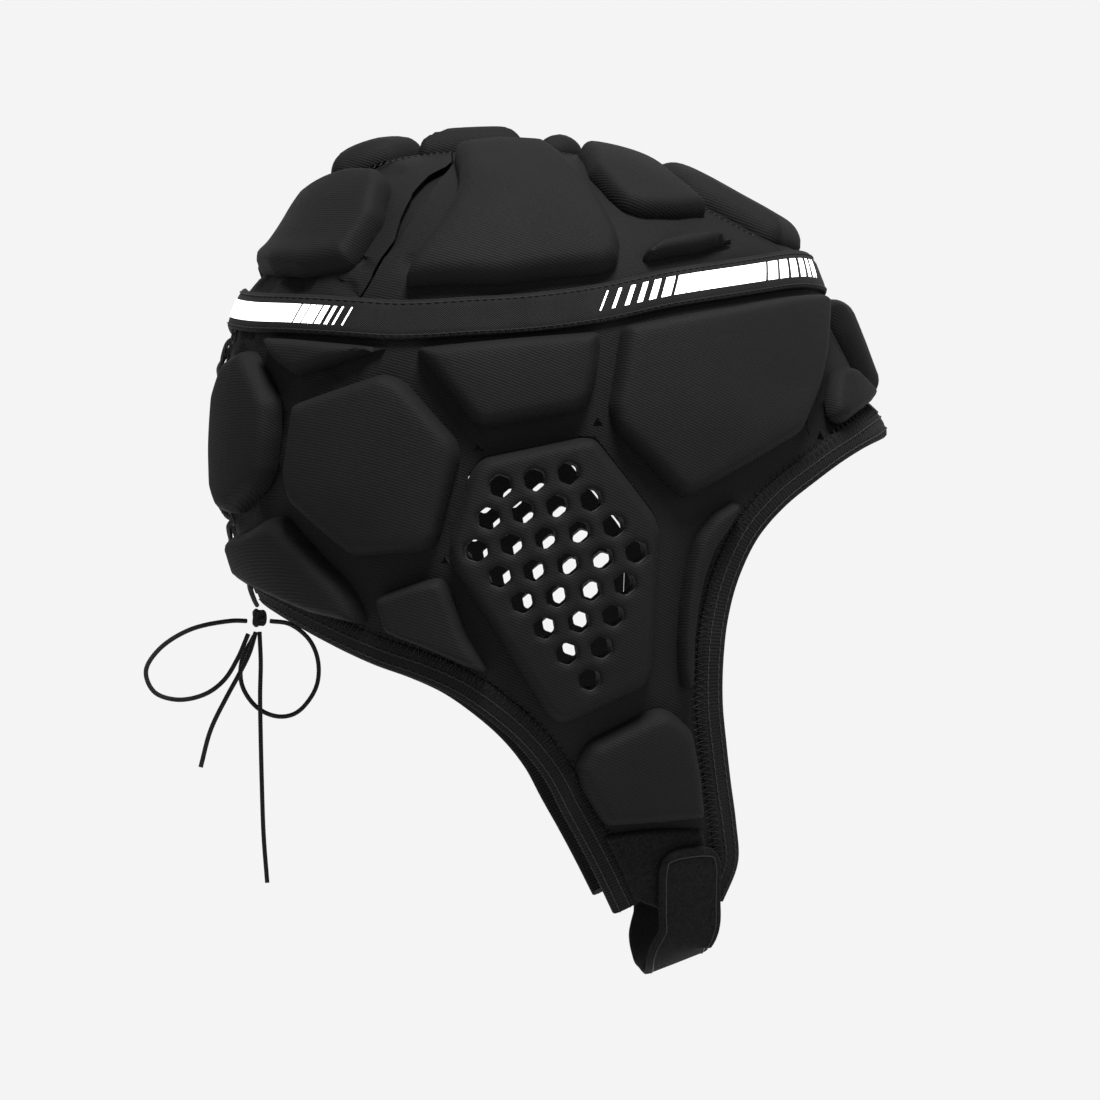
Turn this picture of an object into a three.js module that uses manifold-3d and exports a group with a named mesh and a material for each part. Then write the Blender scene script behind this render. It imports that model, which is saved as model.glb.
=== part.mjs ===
// A padded rugby scrum cap, worn shape, in millimetres.
// +Z is up, the wearer faces -Y and the wearer's right is -X. The origin is the inside of the crown.
import * as THREE from "three";
import { mergeVertices } from "three/addons/utils/BufferGeometryUtils.js";
import Module from "manifold-3d";

const wasm = await Module();
wasm.setup();

// The room for the head, inside the shell
const HEAD_LENGTH = 211;
const HEAD_WIDTH = 155;
const HEAD_DEPTH = 262;

// Cloth, foam and trim
const SHELL = 2.5; // laminated wall
const GAP = 0.3; // clearance between neighbouring pieces
const BOW_ROOM = 0.55; // what a flat facet may dip under the round surface
const PAD_RISE = 7.4; // foam above the wall
const SMALL_PAD_RISE = 5.6;
const PAD_SLOPE = 3.6; // width of a pad's sloping side
const STEEP_SHARE = 0.55; // of that width, on a small pad
const EAR_SLOPE = 2.2;
const PAD_CROWN = 0.7; // extra height in the middle of a pad
const BAND_WIDTH = 12;
const BAND_THICK = 1.2;
const BINDING_WIDTH = 7.5;
const BINDING_PROUD = 0.8; // how far the binding stands over the wall's two faces
const LACE_PANEL_THICK = 2.2;
const NAPE_HEM = 3; // how far the elastic panel ends above the nape's edge
const BACK_OPENING = 36; // between the rear edges of the side panels
const CROWN_STRIP_WIDTH = 38;
const SEAM_GAP = 0.4;

// Ear pad holes
const HOLE_PITCH_SHARE = 0.1628; // of the ear pad's width
const HOLE_FLATS_SHARE = 0.612; // of that pitch
const HOLE_TILT = 10.7; // degrees that the rows rise towards the face
const VENT_SIZE = 3.4; // side of a small triangular vent

// Chin strap, loop panel and lace
const STRAP_WIDTH = 20;
const STRAP_THICK = 2;
const LOOP_THICK = 1.4;
const LACE_THICK = 1.5;

// The head form: reaches from the pole axis, as shares of HEAD_DEPTH, HEAD_WIDTH and HEAD_LENGTH
const POLE_SHARE = 0.057; // how far the crown's top lies behind the origin
const CENTRE_SHARE = 0.363; // depth of the centre that directions start from
const ROUNDNESS = 2.25; // 2 is an ellipse
const FORM = [
  { depth: 0, side: 0, front: 0, back: 0 },
  { depth: 0.019, side: 0.2, front: 0.156, back: 0.227 },
  { depth: 0.05, side: 0.303, front: 0.251, back: 0.284 },
  { depth: 0.08, side: 0.368, front: 0.318, back: 0.313 },
  { depth: 0.107, side: 0.406, front: 0.379, back: 0.332 },
  { depth: 0.134, side: 0.435, front: 0.436, back: 0.355 },
  { depth: 0.176, side: 0.465, front: 0.457, back: 0.408 },
  { depth: 0.229, side: 0.484, front: 0.483, back: 0.431 },
  { depth: 0.298, side: 0.497, front: 0.521, back: 0.443 },
  { depth: 0.351, side: 0.5, front: 0.555, back: 0.445 },
  { depth: 0.412, side: 0.5, front: 0.559, back: 0.443 },
  { depth: 0.485, side: 0.494, front: 0.55, back: 0.417 },
  { depth: 0.553, side: 0.484, front: 0.531, back: 0.384 },
  { depth: 0.649, side: 0.465, front: 0.502, back: 0.351 },
  { depth: 0.763, side: 0.426, front: 0.464, back: 0.322 },
  { depth: 0.859, side: 0.387, front: 0.427, back: 0.299 },
  { depth: 0.935, side: 0.342, front: 0.379, back: 0.275 },
  { depth: 1, side: 0.284, front: 0.332, back: 0.246 },
];

// Directions from the centre: turn from the face round over the right ear, rise above level, in degrees
const FACE_EDGE = [
  { turn: 0, rise: 2.6 },
  { turn: 12, rise: 1.6 },
  { turn: 20, rise: 0.1 },
  { turn: 27, rise: -2.4 },
  { turn: 35, rise: -7 },
  { turn: 43.5, rise: -13.8 },
  { turn: 48.6, rise: -21 },
  { turn: 51.8, rise: -30 },
  { turn: 52.6, rise: -38 },
  { turn: 51.8, rise: -45 },
  { turn: 48, rise: -52.2 },
  { turn: 43, rise: -57.9 },
  { turn: 39, rise: -61.2 },
  { turn: 39.3, rise: -65.7 },
];
const NECK_EDGE = [
  { turn: 78, rise: -67.8 },
  { turn: 84.7, rise: -64.6 },
  { turn: 90.5, rise: -61.4 },
  { turn: 96.7, rise: -56.9 },
  { turn: 106.2, rise: -51 },
  { turn: 119, rise: -44.3 },
  { turn: 136, rise: -38.3 },
  { turn: 149, rise: -33.4 },
  { turn: 160, rise: -29.8 },
  { turn: 169, rise: -27.7 },
];
const BAND_LINE = [
  { turn: 0, rise: 33.9 },
  { turn: 24, rise: 34.2 },
  { turn: 46, rise: 33.3 },
  { turn: 64, rise: 32.2 },
  { turn: 82, rise: 29.6 },
  { turn: 109, rise: 25.7 },
  { turn: 130, rise: 22.8 },
  { turn: 155, rise: 22.3 },
  { turn: 180, rise: 24.2 },
];
const SLIT = [
  { turn: 137, rise: 62, gap: 0.8 },
  { turn: 134.2, rise: 55, gap: 3.5 },
  { turn: 132.8, rise: 49, gap: 5 },
  { turn: 132.2, rise: 43.5, gap: 3.4 },
  { turn: 132.3, rise: 39, gap: 1.2 },
  { turn: 133.4, rise: 34.5, gap: 0.8 },
  { turn: 134.6, rise: 28, gap: 0.8 },
  { turn: 134.4, rise: 22, gap: 0.8 },
];
const FRONT_SEAM = [
  { turn: 12, rise: 73.5 },
  { turn: 40.5, rise: 61.5 },
  { turn: 38.5, rise: 53 },
  { turn: 31.5, rise: 42.5 },
  { turn: 26, rise: 35 },
  { turn: 21, rise: 28 },
  { turn: 17, rise: 19.5 },
  { turn: 9.3, rise: 11 },
  { turn: 8.8, rise: 0 },
];
const VENTS = [
  { turn: 109.9, rise: -1.7 },
  { turn: 117, rise: -24.3 },
  { turn: 83.2, rise: 4 },
  { turn: 33, rise: 1.5 },
];

// Pad outlines as corners in turn and rise, right side; the left ones are mirrored
const SIDE_PADS = {
  temple_pad: {
    corners: [[77.6, 24.8], [50, 27.8], [23, 29.3], [21, 27], [28.5, 17], [34.6, 8], [39.8, 1.7], [53, -6], [61.5, -11.2],
      [64.5, -12.2], [67, -10.6], [80, 2.5], [81, 7.5]],
  },
  side_mid_pad: {
    corners: [[122.6, 18], [102, 21.8], [82.4, 23.8], [83.6, 15], [85.2, 8.6], [88, 6.2], [108.5, 2.4], [111, 3.8]],
  },
  rear_side_pad: {
    corners: [[145, 6.8], [128, 12.9], [124, 11.6], [113.6, 0], [113, -3.3], [117.6, -20], [120, -22], [134.5, -21.2],
      [146, -10.2], [147, -5.6]],
  },
  rear_sliver_pad: {
    low: true,
    steep: true,
    corners: [[154.6, 18.2], [140, 17.9], [127.4, 17.6], [136, 14.4], [145, 11.6], [150, 13.8]],
  },
  rear_edge_pad: {
    corners: [[157, 16.2], [163, 14.4], [167, 9], [168, 0], [168, -7], [165, -10.6], [160.6, -11.4], [152.4, -8],
      [150, -5], [148.8, 1], [148.8, 7], [152.2, 11.6]],
  },
  nape_pad: {
    corners: [[167.6, -14.6], [159, -14], [151.6, -12.4], [148, -13], [137, -25.2], [135, -28.4], [133.4, -33],
      [145, -30], [153.5, -26.6], [162, -23.6], [168, -21.6]],
  },
  lower_rear_pad: {
    steep: true,
    corners: [[130.6, -28.6], [121.6, -27], [117.4, -26.8], [115.8, -28.9], [112.8, -37], [107.8, -43.4], [113.6, -41.4],
      [120.4, -38.4], [129, -34.8]],
  },
  jaw_pad: {
    corners: [[86.6, -55.2], [84.8, -53.4], [69.8, -48.9], [66.6, -48.3], [63.6, -48.7], [59, -50.2], [56, -54.6],
      [53.6, -57.6], [78.6, -60.6], [84.6, -57.6]],
  },
  brow_corner_pad: {
    low: true,
    corners: [[24, 14.6], [19.5, 14.2], [12.4, 9.8], [12, 7.6], [22, 5.6], [29, 3.4], [31.8, 4.4], [31, 8], [27, 13.4]],
  },
  side_top_pad: {
    corners: [[136, 62.2], [122, 69], [99, 70.4], [90.6, 65.6], [79.8, 50.6], [76, 41.7], [77.6, 36.8], [82, 35.4],
      [105.3, 32.2], [126, 29], [125.6, 32.7], [121.6, 42.5], [121, 49.5], [124.6, 54.8]],
  },
  front_slope_pad: {
    low: true,
    corners: [[76, 76], [60, 77.6], [34, 76.6], [20, 73.6], [29, 70], [43.6, 59], [46, 49.4], [56.6, 48], [67, 48.2],
      [72.4, 49.8], [75.8, 53.5], [79.8, 61]],
  },
  brow_small_pad: {
    low: true,
    steep: true,
    corners: [[71, 37.6], [70, 39.8], [66.5, 41.5], [60, 42.1], [52, 42], [45, 41.2], [44.6, 39.7], [56, 38.8]],
  },
  rear_top_pad: {
    corners: [[172, 46.6], [155, 51], [145.5, 51.4], [140.6, 48.6], [136.4, 41.5], [138, 31], [148, 28.6],
      [158.5, 28.6], [172, 29.8]],
  },
};

// The narrow ridge pad beside the face binding: its middle line and its width in millimetres
const CHEEK_RIDGE = [
  { turn: 52.6, rise: -12.6, width: 3 },
  { turn: 56.2, rise: -16.4, width: 7 },
  { turn: 59.4, rise: -21, width: 7.4 },
  { turn: 61.2, rise: -27, width: 6.4 },
  { turn: 62, rise: -33, width: 5.8 },
  { turn: 62.2, rise: -38.6, width: 5.2 },
  { turn: 61.6, rise: -43, width: 4.8 },
  { turn: 60.9, rise: -45.4, width: 3 },
];

// Midline pads: the corners of the right half, from front to back; the left half is mirrored
const MIDLINE_PADS = {
  crown_pad_1: { corners: [[180, 66.4], [163.4, 59.4], [166, 54], [169, 49.6]] },
  crown_pad_2: { corners: [[122, 78], [146, 71.6], [160.6, 62.2], [180, 69]] },
  crown_pad_3: { low: true, corners: [[56, 81.2], [84, 79.6], [111, 79.2]] },
  front_crown_pad: { corners: [[26.5, 39.8], [29.5, 46], [36, 54.5], [37.4, 60.4], [17, 70.4]] },
  forehead_pad: { corners: [[5.6, 8.8], [6, 11.6], [14.6, 20.4], [18.6, 28.2], [10, 29.2]] },
};
const EAR_PAD = [[109, -4], [87.4, 0.6], [84, 0.4], [71, -15.6], [69.6, -18.5], [69.8, -31.5], [70, -43.8], [71.4, -45.8],
  [88, -50.6], [92, -51], [94.8, -50], [115.2, -25], [115.6, -21], [111.4, -7.3]];

const radians = THREE.MathUtils.degToRad;
const centre = new THREE.Vector3(0, 0, -CENTRE_SHARE * HEAD_DEPTH);
const BACK_DIRECTION = 180;

// The head form as a level function: below zero inside, above zero outside

// Slopes of a curve through the rows that never overshoots them.
function quietSlopes(at, values) {
  const rises = values.slice(1).map((v, i) => (v - values[i]) / (at[i + 1] - at[i]));
  return values.map((v, i) => {
    if (i === 0) return rises[0];
    if (i === values.length - 1) return rises[i - 1];
    if (rises[i - 1] * rises[i] <= 0) return 0;
    const before = at[i] - at[i - 1];
    const after = at[i + 1] - at[i];
    const first = 2 * after + before;
    const second = after + 2 * before;
    return (first + second) / (first / rises[i - 1] + second / rises[i]);
  });
}

function columnCurve(rows, name, size, where) {
  const at = rows.map(where);
  const values = rows.map((row) => row[name] * size);
  const slopes = quietSlopes(at, values);
  return (t) => {
    const last = at.length - 1;
    if (t >= at[last]) return values[last] + slopes[last] * (t - at[last]);
    let i = 0;
    while (i < last - 1 && t >= at[i + 1]) i += 1;
    const span = at[i + 1] - at[i];
    const s = (t - at[i]) / span;
    const a = (1 + 2 * s) * (1 - s) ** 2 * values[i] + s * (1 - s) ** 2 * span * slopes[i];
    const b = s * s * (3 - 2 * s) * values[i + 1] + s * s * (s - 1) * span * slopes[i + 1];
    return a + b;
  };
}

const sideReach = columnCurve(FORM, "side", HEAD_WIDTH, (row) => Math.sqrt(row.depth));
const frontReach = columnCurve(FORM, "front", HEAD_LENGTH, (row) => Math.sqrt(row.depth));
const backReach = columnCurve(FORM, "back", HEAD_LENGTH, (row) => Math.sqrt(row.depth));
const poleY = POLE_SHARE * HEAD_LENGTH;

function level(p) {
  const depth = -p.z;
  if (depth <= 1e-6) return 9;
  const t = Math.sqrt(depth / HEAD_DEPTH);
  const side = Math.max(sideReach(t), 0.01);
  const along = Math.max(p.y < poleY ? frontReach(t) : backReach(t), 0.01);
  return (Math.abs(p.x) / side) ** ROUNDNESS + (Math.abs(p.y - poleY) / along) ** ROUNDNESS - 1;
}

// The point where a line crosses from inside the form to outside it.
function crossing(inner, outer) {
  const a = inner.clone();
  const b = outer.clone();
  for (let i = 0; i < 34; i += 1) {
    const middle = a.clone().lerp(b, 0.5);
    if (level(middle) < 0) a.copy(middle);
    else b.copy(middle);
  }
  return a;
}

function heading(turn, rise) {
  const t = radians(turn);
  const r = radians(rise);
  return new THREE.Vector3(-Math.sin(t) * Math.cos(r), -Math.cos(t) * Math.cos(r), Math.sin(r));
}

function formPoint(direction) {
  const far = centre.clone().addScaledVector(direction, 2 * HEAD_DEPTH);
  return crossing(centre, far);
}

// The form's outward normal, from two short steps across the direction.
function formNormal(direction) {
  const step = 0.01;
  const across = new THREE.Vector3(0, 0, 1).cross(direction);
  if (across.length() < 1e-3) across.set(1, 0, 0);
  across.normalize();
  const up = direction.clone().cross(across);
  const move = (v, s) => formPoint(direction.clone().addScaledVector(v, s).normalize());
  const a = move(across, step).sub(move(across, -step));
  const b = move(up, step).sub(move(up, -step));
  return a.cross(b).normalize();
}

function liftedAt(point, height) {
  const direction = point.clone().sub(centre).normalize();
  return point.clone().addScaledVector(formNormal(direction), height);
}

function lifted(turn, rise, height) {
  return liftedAt(formPoint(heading(turn, rise)), height);
}

// Closed bodies

// A manifold body from points and triangles, turned so that its faces point out.
function body(points, triangles) {
  let volume = 0;
  for (const [a, b, c] of triangles) volume += points[a].dot(points[b].clone().cross(points[c]));
  const order = triangles.flatMap(([a, b, c]) => (volume < 0 ? [a, c, b] : [a, b, c]));
  const geometry = new THREE.BufferGeometry().setFromPoints(points);
  geometry.setIndex(order);
  return solid(geometry);
}

function solid(geometry) {
  geometry.deleteAttribute("normal");
  geometry.deleteAttribute("uv");
  const merged = mergeVertices(geometry, 1e-4);
  const mesh = new wasm.Mesh({
    numProp: 3,
    vertProperties: merged.attributes.position.array,
    triVerts: new Uint32Array(merged.index.array),
  });
  return new wasm.Manifold(mesh);
}

function geometryOf(made) {
  const mesh = made.getMesh();
  const geometry = new THREE.BufferGeometry();
  geometry.setAttribute("position", new THREE.BufferAttribute(mesh.vertProperties, 3));
  geometry.setIndex(new THREE.BufferAttribute(mesh.triVerts, 1));
  return geometry;
}

function mirrored(made) {
  const geometry = geometryOf(made);
  geometry.applyMatrix4(new THREE.Matrix4().makeScale(-1, 1, 1));
  const index = geometry.index.array;
  for (let i = 0; i < index.length; i += 3) [index[i + 1], index[i + 2]] = [index[i + 2], index[i + 1]];
  return solid(geometry);
}

// The piece of a boolean result that holds most of the cloth.
function largest(made) {
  return made.decompose().sort((a, b) => b.volume() - a.volume())[0];
}

// Rings of equal length joined side by side, with both ends closed.
function loft(rings, closeEnds) {
  const count = rings[0].length;
  const points = rings.flat();
  const triangles = [];
  for (let r = 0; r + 1 < rings.length; r += 1) {
    for (let i = 0; i < count; i += 1) {
      const j = (i + 1) % count;
      const a = r * count + i;
      const b = r * count + j;
      triangles.push([a, b, b + count], [a, b + count, a + count]);
    }
  }
  closeEnds(points, triangles, count, rings.length);
  return body(points, triangles);
}

// An end closed by a fan round a middle point, or by rungs between the two halves of the ring.
function fan(points, triangles, first, count, middle, turned) {
  const hub = points.push(middle) - 1;
  for (let i = 0; i < count; i += 1) {
    const a = first + i;
    const b = first + ((i + 1) % count);
    triangles.push(turned ? [b, a, hub] : [a, b, hub]);
  }
}

function rungs(triangles, first, count, turned) {
  for (let i = 0; i < count / 2 - 1; i += 1) {
    const a = first + i;
    const b = first + i + 1;
    const c = first + count - 2 - i;
    const d = first + count - 1 - i;
    const pair = [[a, b, c], [a, c, d]];
    triangles.push(...pair.map(([x, y, z]) => (turned ? [x, z, y] : [x, y, z])));
  }
}

// A prism of an outline, standing along one axis of a frame.
function prism(outline, frame, from, to) {
  const geometry = new THREE.ExtrudeGeometry(new THREE.Shape(outline), { depth: to - from, bevelEnabled: false });
  geometry.translate(0, 0, from);
  geometry.applyMatrix4(frame);
  return solid(geometry);
}

const alongX = new THREE.Matrix4().makeBasis(
  new THREE.Vector3(0, 1, 0), new THREE.Vector3(0, 0, 1), new THREE.Vector3(1, 0, 0));
const alongZ = new THREE.Matrix4();
const far = 2 * HEAD_DEPTH;

// A box between two corners, as a prism.
function block(low, high) {
  const outline = [
    new THREE.Vector2(low.x, low.y), new THREE.Vector2(high.x, low.y),
    new THREE.Vector2(high.x, high.y), new THREE.Vector2(low.x, high.y)];
  return prism(outline, alongZ, low.z, high.z);
}

// The wall between two heights over the form, open below the chin
const TURN_STEPS = 30;
const WALL_RISES = [-72, -64, -56, -46, -36, -25, -14, -3, 8, 18, 25, 30, 38, 48, 59, 70, 80];

function wall(low, high) {
  const ringAt = (rise, height) => Array.from({ length: TURN_STEPS }, (_, i) =>
    lifted((360 * i) / TURN_STEPS, rise, height));
  const outside = WALL_RISES.map((rise) => ringAt(rise, high));
  const inside = WALL_RISES.map((rise) => ringAt(rise, low));
  const rings = [...inside.reverse(), ...outside];
  return loft(rings, (points, triangles, count, ringCount) => {
    fan(points, triangles, 0, count, lifted(0, 90, low), true);
    fan(points, triangles, (ringCount - 1) * count, count, lifted(0, 90, high), false);
  });
}

// A smooth curve over the form through rows of turn and rise.
function lineOn(rows, height, steps) {
  const curve = new THREE.CatmullRomCurve3(rows.map((row) => lifted(row.turn, row.rise, height)));
  return curve.getSpacedPoints(steps).map((p) => {
    const direction = p.clone().sub(centre).normalize();
    return liftedAt(formPoint(direction), height);
  });
}

// Pads

// The plane that a pad is drawn in: it touches the form in the middle of the corners.
function padSeat(corners) {
  const points = corners.map(([turn, rise]) => formPoint(heading(turn, rise)));
  const middle = points.reduce((sum, p) => sum.add(p), new THREE.Vector3()).divideScalar(points.length);
  const direction = middle.clone().sub(centre).normalize();
  const origin = formPoint(direction);
  const out = formNormal(direction);
  const side = new THREE.Vector3(0, 0, 1).cross(out);
  if (side.length() < 0.2) side.set(1, 0, 0).addScaledVector(out, -out.x);
  side.normalize();
  const up = out.clone().cross(side);
  const flat = (p) => {
    const q = p.clone().sub(origin);
    return new THREE.Vector2(q.dot(side), q.dot(up));
  };
  const raise = (v, height) => {
    const q = origin.clone().addScaledVector(side, v.x).addScaledVector(up, v.y);
    const deep = q.clone().addScaledVector(out, -HEAD_WIDTH / 3);
    const high = q.clone().addScaledVector(out, HEAD_WIDTH / 4);
    return liftedAt(crossing(deep, high), height);
  };
  const frame = new THREE.Matrix4().makeBasis(side, up, out).setPosition(origin);
  return { outline: points.map(flat), raise, frame, flat, out };
}

const CORNER_CUT = 2.6; // how far a rounded corner starts from its point
const LONGEST_EDGE = 18;
const LARGE_PAD = 28; // a pad that reaches further from its middle has a second ring on both faces

// The outline with its corners cut and its long edges divided, always counterclockwise.
function softened(outline) {
  const area = THREE.ShapeUtils.area(outline);
  const corners = area < 0 ? [...outline].reverse() : outline;
  const points = [];
  corners.forEach((corner, i) => {
    const before = corners[(i + corners.length - 1) % corners.length];
    const after = corners[(i + 1) % corners.length];
    const a = before.clone().sub(corner);
    const b = after.clone().sub(corner);
    const bend = Math.PI - Math.abs(Math.acos(THREE.MathUtils.clamp(a.dot(b) / a.length() / b.length(), -1, 1)));
    const room = Math.min(a.length(), b.length());
    if (bend < radians(38) || room < 2.5 * CORNER_CUT) {
      points.push(corner);
    } else {
      points.push(corner.clone().addScaledVector(a.normalize(), CORNER_CUT));
      points.push(corner.clone().addScaledVector(b.normalize(), CORNER_CUT));
    }
  });
  return points.flatMap((p, i) => {
    const next = points[(i + 1) % points.length];
    const parts = Math.ceil(p.distanceTo(next) / LONGEST_EDGE);
    return Array.from({ length: parts }, (_, k) => p.clone().lerp(next, k / parts));
  });
}

// The outline moved inwards along the bisector at each point.
function inset(points, distance) {
  return points.map((p, i) => {
    const before = points[(i + points.length - 1) % points.length];
    const after = points[(i + 1) % points.length];
    const a = p.clone().sub(before).normalize();
    const b = after.clone().sub(p).normalize();
    const inward = new THREE.Vector2(-a.y - b.y, a.x + b.x);
    const stretch = Math.max(1 + a.dot(b), 0.6);
    return p.clone().addScaledVector(inward, distance / stretch);
  });
}

function middleOf(points) {
  return points.reduce((sum, p) => sum.add(p), new THREE.Vector2()).divideScalar(points.length);
}

const padFoot = SHELL + GAP + BOW_ROOM;

// The raised rings of a pad over its seat: foot, shoulder and top.
function padRings(seat, outline, foot, rise, slope) {
  const top = SHELL + rise;
  return [
    { line: outline, height: foot },
    { line: inset(outline, 0.25 * slope), height: foot + 0.62 * (top - foot) },
    { line: inset(outline, slope), height: top },
  ].map(({ line, height }) => ({ line, ring: line.map((v) => seat.raise(v, height)) }));
}

function pad(corners, low = false, steep = false) {
  const seat = padSeat(corners);
  const outline = softened(seat.outline);
  const rise = low ? SMALL_PAD_RISE : PAD_RISE;
  const slope = (low ? 0.8 : 1) * (steep ? STEEP_SHARE : 1) * PAD_SLOPE;
  const rings = padRings(seat, outline, padFoot, rise, slope);
  const topLine = rings[rings.length - 1].line;
  const middle = middleOf(topLine);
  const half = topLine.map((v) => v.clone().lerp(middle, 0.5));
  const crown = SHELL + rise + PAD_CROWN;
  const under = middleOf(outline);
  if (Math.max(...outline.map((v) => v.distanceTo(under))) > LARGE_PAD) {
    const halfUnder = outline.map((v) => v.clone().lerp(under, 0.45));
    rings.push({ line: half, ring: half.map((v) => seat.raise(v, crown)) });
    rings.unshift({ line: halfUnder, ring: halfUnder.map((v) => seat.raise(v, padFoot + BOW_ROOM)) });
  }
  return loft(rings.map((r) => r.ring), (points, triangles, count, ringCount) => {
    fan(points, triangles, 0, count, seat.raise(under, padFoot + 2 * BOW_ROOM), true);
    fan(points, triangles, (ringCount - 1) * count, count, seat.raise(middle, crown), false);
  });
}

// A narrow pad along a line: two long sides joined by rungs.
function ridgePad(rows) {
  const seat = padSeat(rows.map((row) => [row.turn, row.rise]));
  const line = seat.outline;
  const sides = line.map((p, i) => {
    const before = line[Math.max(i - 1, 0)];
    const after = line[Math.min(i + 1, line.length - 1)];
    const along = after.clone().sub(before).normalize();
    const across = new THREE.Vector2(-along.y, along.x).multiplyScalar(rows[i].width / 2);
    return [p.clone().add(across), p.clone().sub(across)];
  });
  let outline = [...sides.map((s) => s[0]), ...sides.map((s) => s[1]).reverse()];
  if (THREE.ShapeUtils.area(outline) < 0) outline = outline.reverse();
  const rings = padRings(seat, outline, padFoot, SMALL_PAD_RISE, PAD_SLOPE / 3);
  return loft(rings.map((r) => r.ring), (points, triangles, count, ringCount) => {
    rungs(triangles, 0, count, true);
    rungs(triangles, (ringCount - 1) * count, count, false);
  });
}

// Both halves of a midline pad's outline.
function wholeOutline(corners) {
  const right = corners.filter(([turn]) => turn !== BACK_DIRECTION);
  const left = right.map(([turn, rise]) => [360 - turn, rise]).reverse();
  const [first, last] = [corners[0], corners[corners.length - 1]];
  const front = first[0] === BACK_DIRECTION ? [first] : [];
  const back = last[0] === BACK_DIRECTION ? [last] : [];
  return [...front, ...right, ...back, ...left];
}

// The ear pad fills its opening from the inner face, and its holes go right through
const HOLE_ROWS = [
  { start: 0, count: 3 },
  { start: 0, count: 4 },
  { start: 0, count: 5 },
  { start: 1, count: 5 },
  { start: 2, count: 4 },
  { start: 3, count: 3 },
  { start: 4, count: 2 },
  { start: 5, count: 1 },
];
const HOLE_MIDDLE = { turn: 90.4, rise: -26.4, row: 3, place: 3 };

// The holes' outlines in the ear pad's plane: a triangular lattice whose rows rise towards the face.
function earHoles(seat) {
  const tilt = radians(HOLE_TILT);
  const reaches = seat.outline.map((v) => v.x);
  const pitch = HOLE_PITCH_SHARE * (Math.max(...reaches) - Math.min(...reaches));
  const along = new THREE.Vector2(Math.cos(tilt), Math.sin(tilt)).multiplyScalar(pitch);
  const down = along.clone().rotateAround(new THREE.Vector2(), radians(-120));
  const middle = seat.flat(formPoint(heading(HOLE_MIDDLE.turn, HOLE_MIDDLE.rise)));
  const corner = (HOLE_FLATS_SHARE * pitch) / Math.sqrt(3);
  return HOLE_ROWS.flatMap(({ start, count }, row) =>
    Array.from({ length: count }, (_, k) => {
      const at = middle.clone()
        .addScaledVector(along, start + k - HOLE_MIDDLE.place)
        .addScaledVector(down, row - HOLE_MIDDLE.row);
      return Array.from({ length: 6 }, (_, i) => {
        const angle = tilt - radians(30 + 60 * i);
        return new THREE.Vector2(at.x + corner * Math.cos(angle), at.y + corner * Math.sin(angle));
      });
    }));
}

// The ear pad: its two faces are the same flat triangulation with holes, put at two heights.
function piercedPad(seat, outline, holes) {
  const rings = padRings(seat, outline, GAP, PAD_RISE, EAR_SLOPE);
  const count = outline.length;
  const points = rings.flatMap((r) => r.ring);
  const triangles = [];
  for (let r = 0; r + 1 < rings.length; r += 1) {
    for (let i = 0; i < count; i += 1) {
      const a = r * count + i;
      const b = r * count + ((i + 1) % count);
      triangles.push([a, b, b + count], [a, b + count, a + count]);
    }
  }
  const topFirst = (rings.length - 1) * count;
  const straight = (v, height) => {
    const foot = seat.raise(v, 0);
    return foot.addScaledVector(seat.out, height);
  };
  const low = holes.map((hole) => hole.map((v) => points.push(straight(v, GAP)) - 1));
  const high = holes.map((hole) => hole.map((v) => points.push(straight(v, SHELL + PAD_RISE)) - 1));
  const face = (line, first, inner, turned) => {
    const index = [...line.map((_, i) => first + i), ...inner.flat()];
    for (const [a, b, c] of THREE.ShapeUtils.triangulateShape(line, holes)) {
      triangles.push(turned ? [index[a], index[c], index[b]] : [index[a], index[b], index[c]]);
    }
  };
  face(outline, 0, low, true);
  face(rings[rings.length - 1].line, topFirst, high, false);
  holes.forEach((hole, h) => hole.forEach((_, i) => {
    const j = (i + 1) % hole.length;
    triangles.push([low[h][i], low[h][j], high[h][j]], [low[h][i], high[h][j], high[h][i]]);
  }));
  return body(points, triangles);
}

const earSeat = padSeat(EAR_PAD);
const earOutline = softened(earSeat.outline);
const earPad = piercedPad(earSeat, earOutline, earHoles(earSeat));
const earOpening = prism(inset(earOutline, -GAP - BOW_ROOM), earSeat.frame, -HEAD_WIDTH / 6, HEAD_WIDTH / 6);

// Bindings fold over the wall's edge

// A strip along an edge line: each corner of its section is a distance inwards and a height.
function edgeStrip(line, section) {
  const last = line.length - 1;
  const rings = line.map((p, i) => {
    const along = line[Math.min(i + 1, last)].clone().sub(line[Math.max(i - 1, 0)]).normalize();
    const out = formNormal(p.clone().sub(centre).normalize());
    const inward = along.clone().cross(out).normalize();
    return section.map(([across, height]) => {
      const q = p.clone().addScaledVector(inward, across);
      const foot = crossing(q.clone().addScaledVector(out, -HEAD_WIDTH / 4),
        q.clone().addScaledVector(out, HEAD_WIDTH / 4));
      return liftedAt(foot, height);
    });
  });
  return loft(rings, (points, triangles, count, ringCount) => {
    const middle = (ring) => ring.reduce((sum, p) => sum.clone().add(p), new THREE.Vector3()).divideScalar(ring.length);
    fan(points, triangles, 0, count, middle(rings[0]), true);
    fan(points, triangles, (ringCount - 1) * count, count, middle(rings[ringCount - 1]), false);
  });
}

// The same line with its two ends moved out, so that what it cuts is cut past them.
function runPast(line, distance) {
  const [a, b] = line;
  const [y, z] = line.slice(-2);
  const start = a.clone().addScaledVector(a.clone().sub(b).normalize(), distance);
  const end = z.clone().addScaledVector(z.clone().sub(y).normalize(), distance);
  return [start, ...line, end];
}

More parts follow.
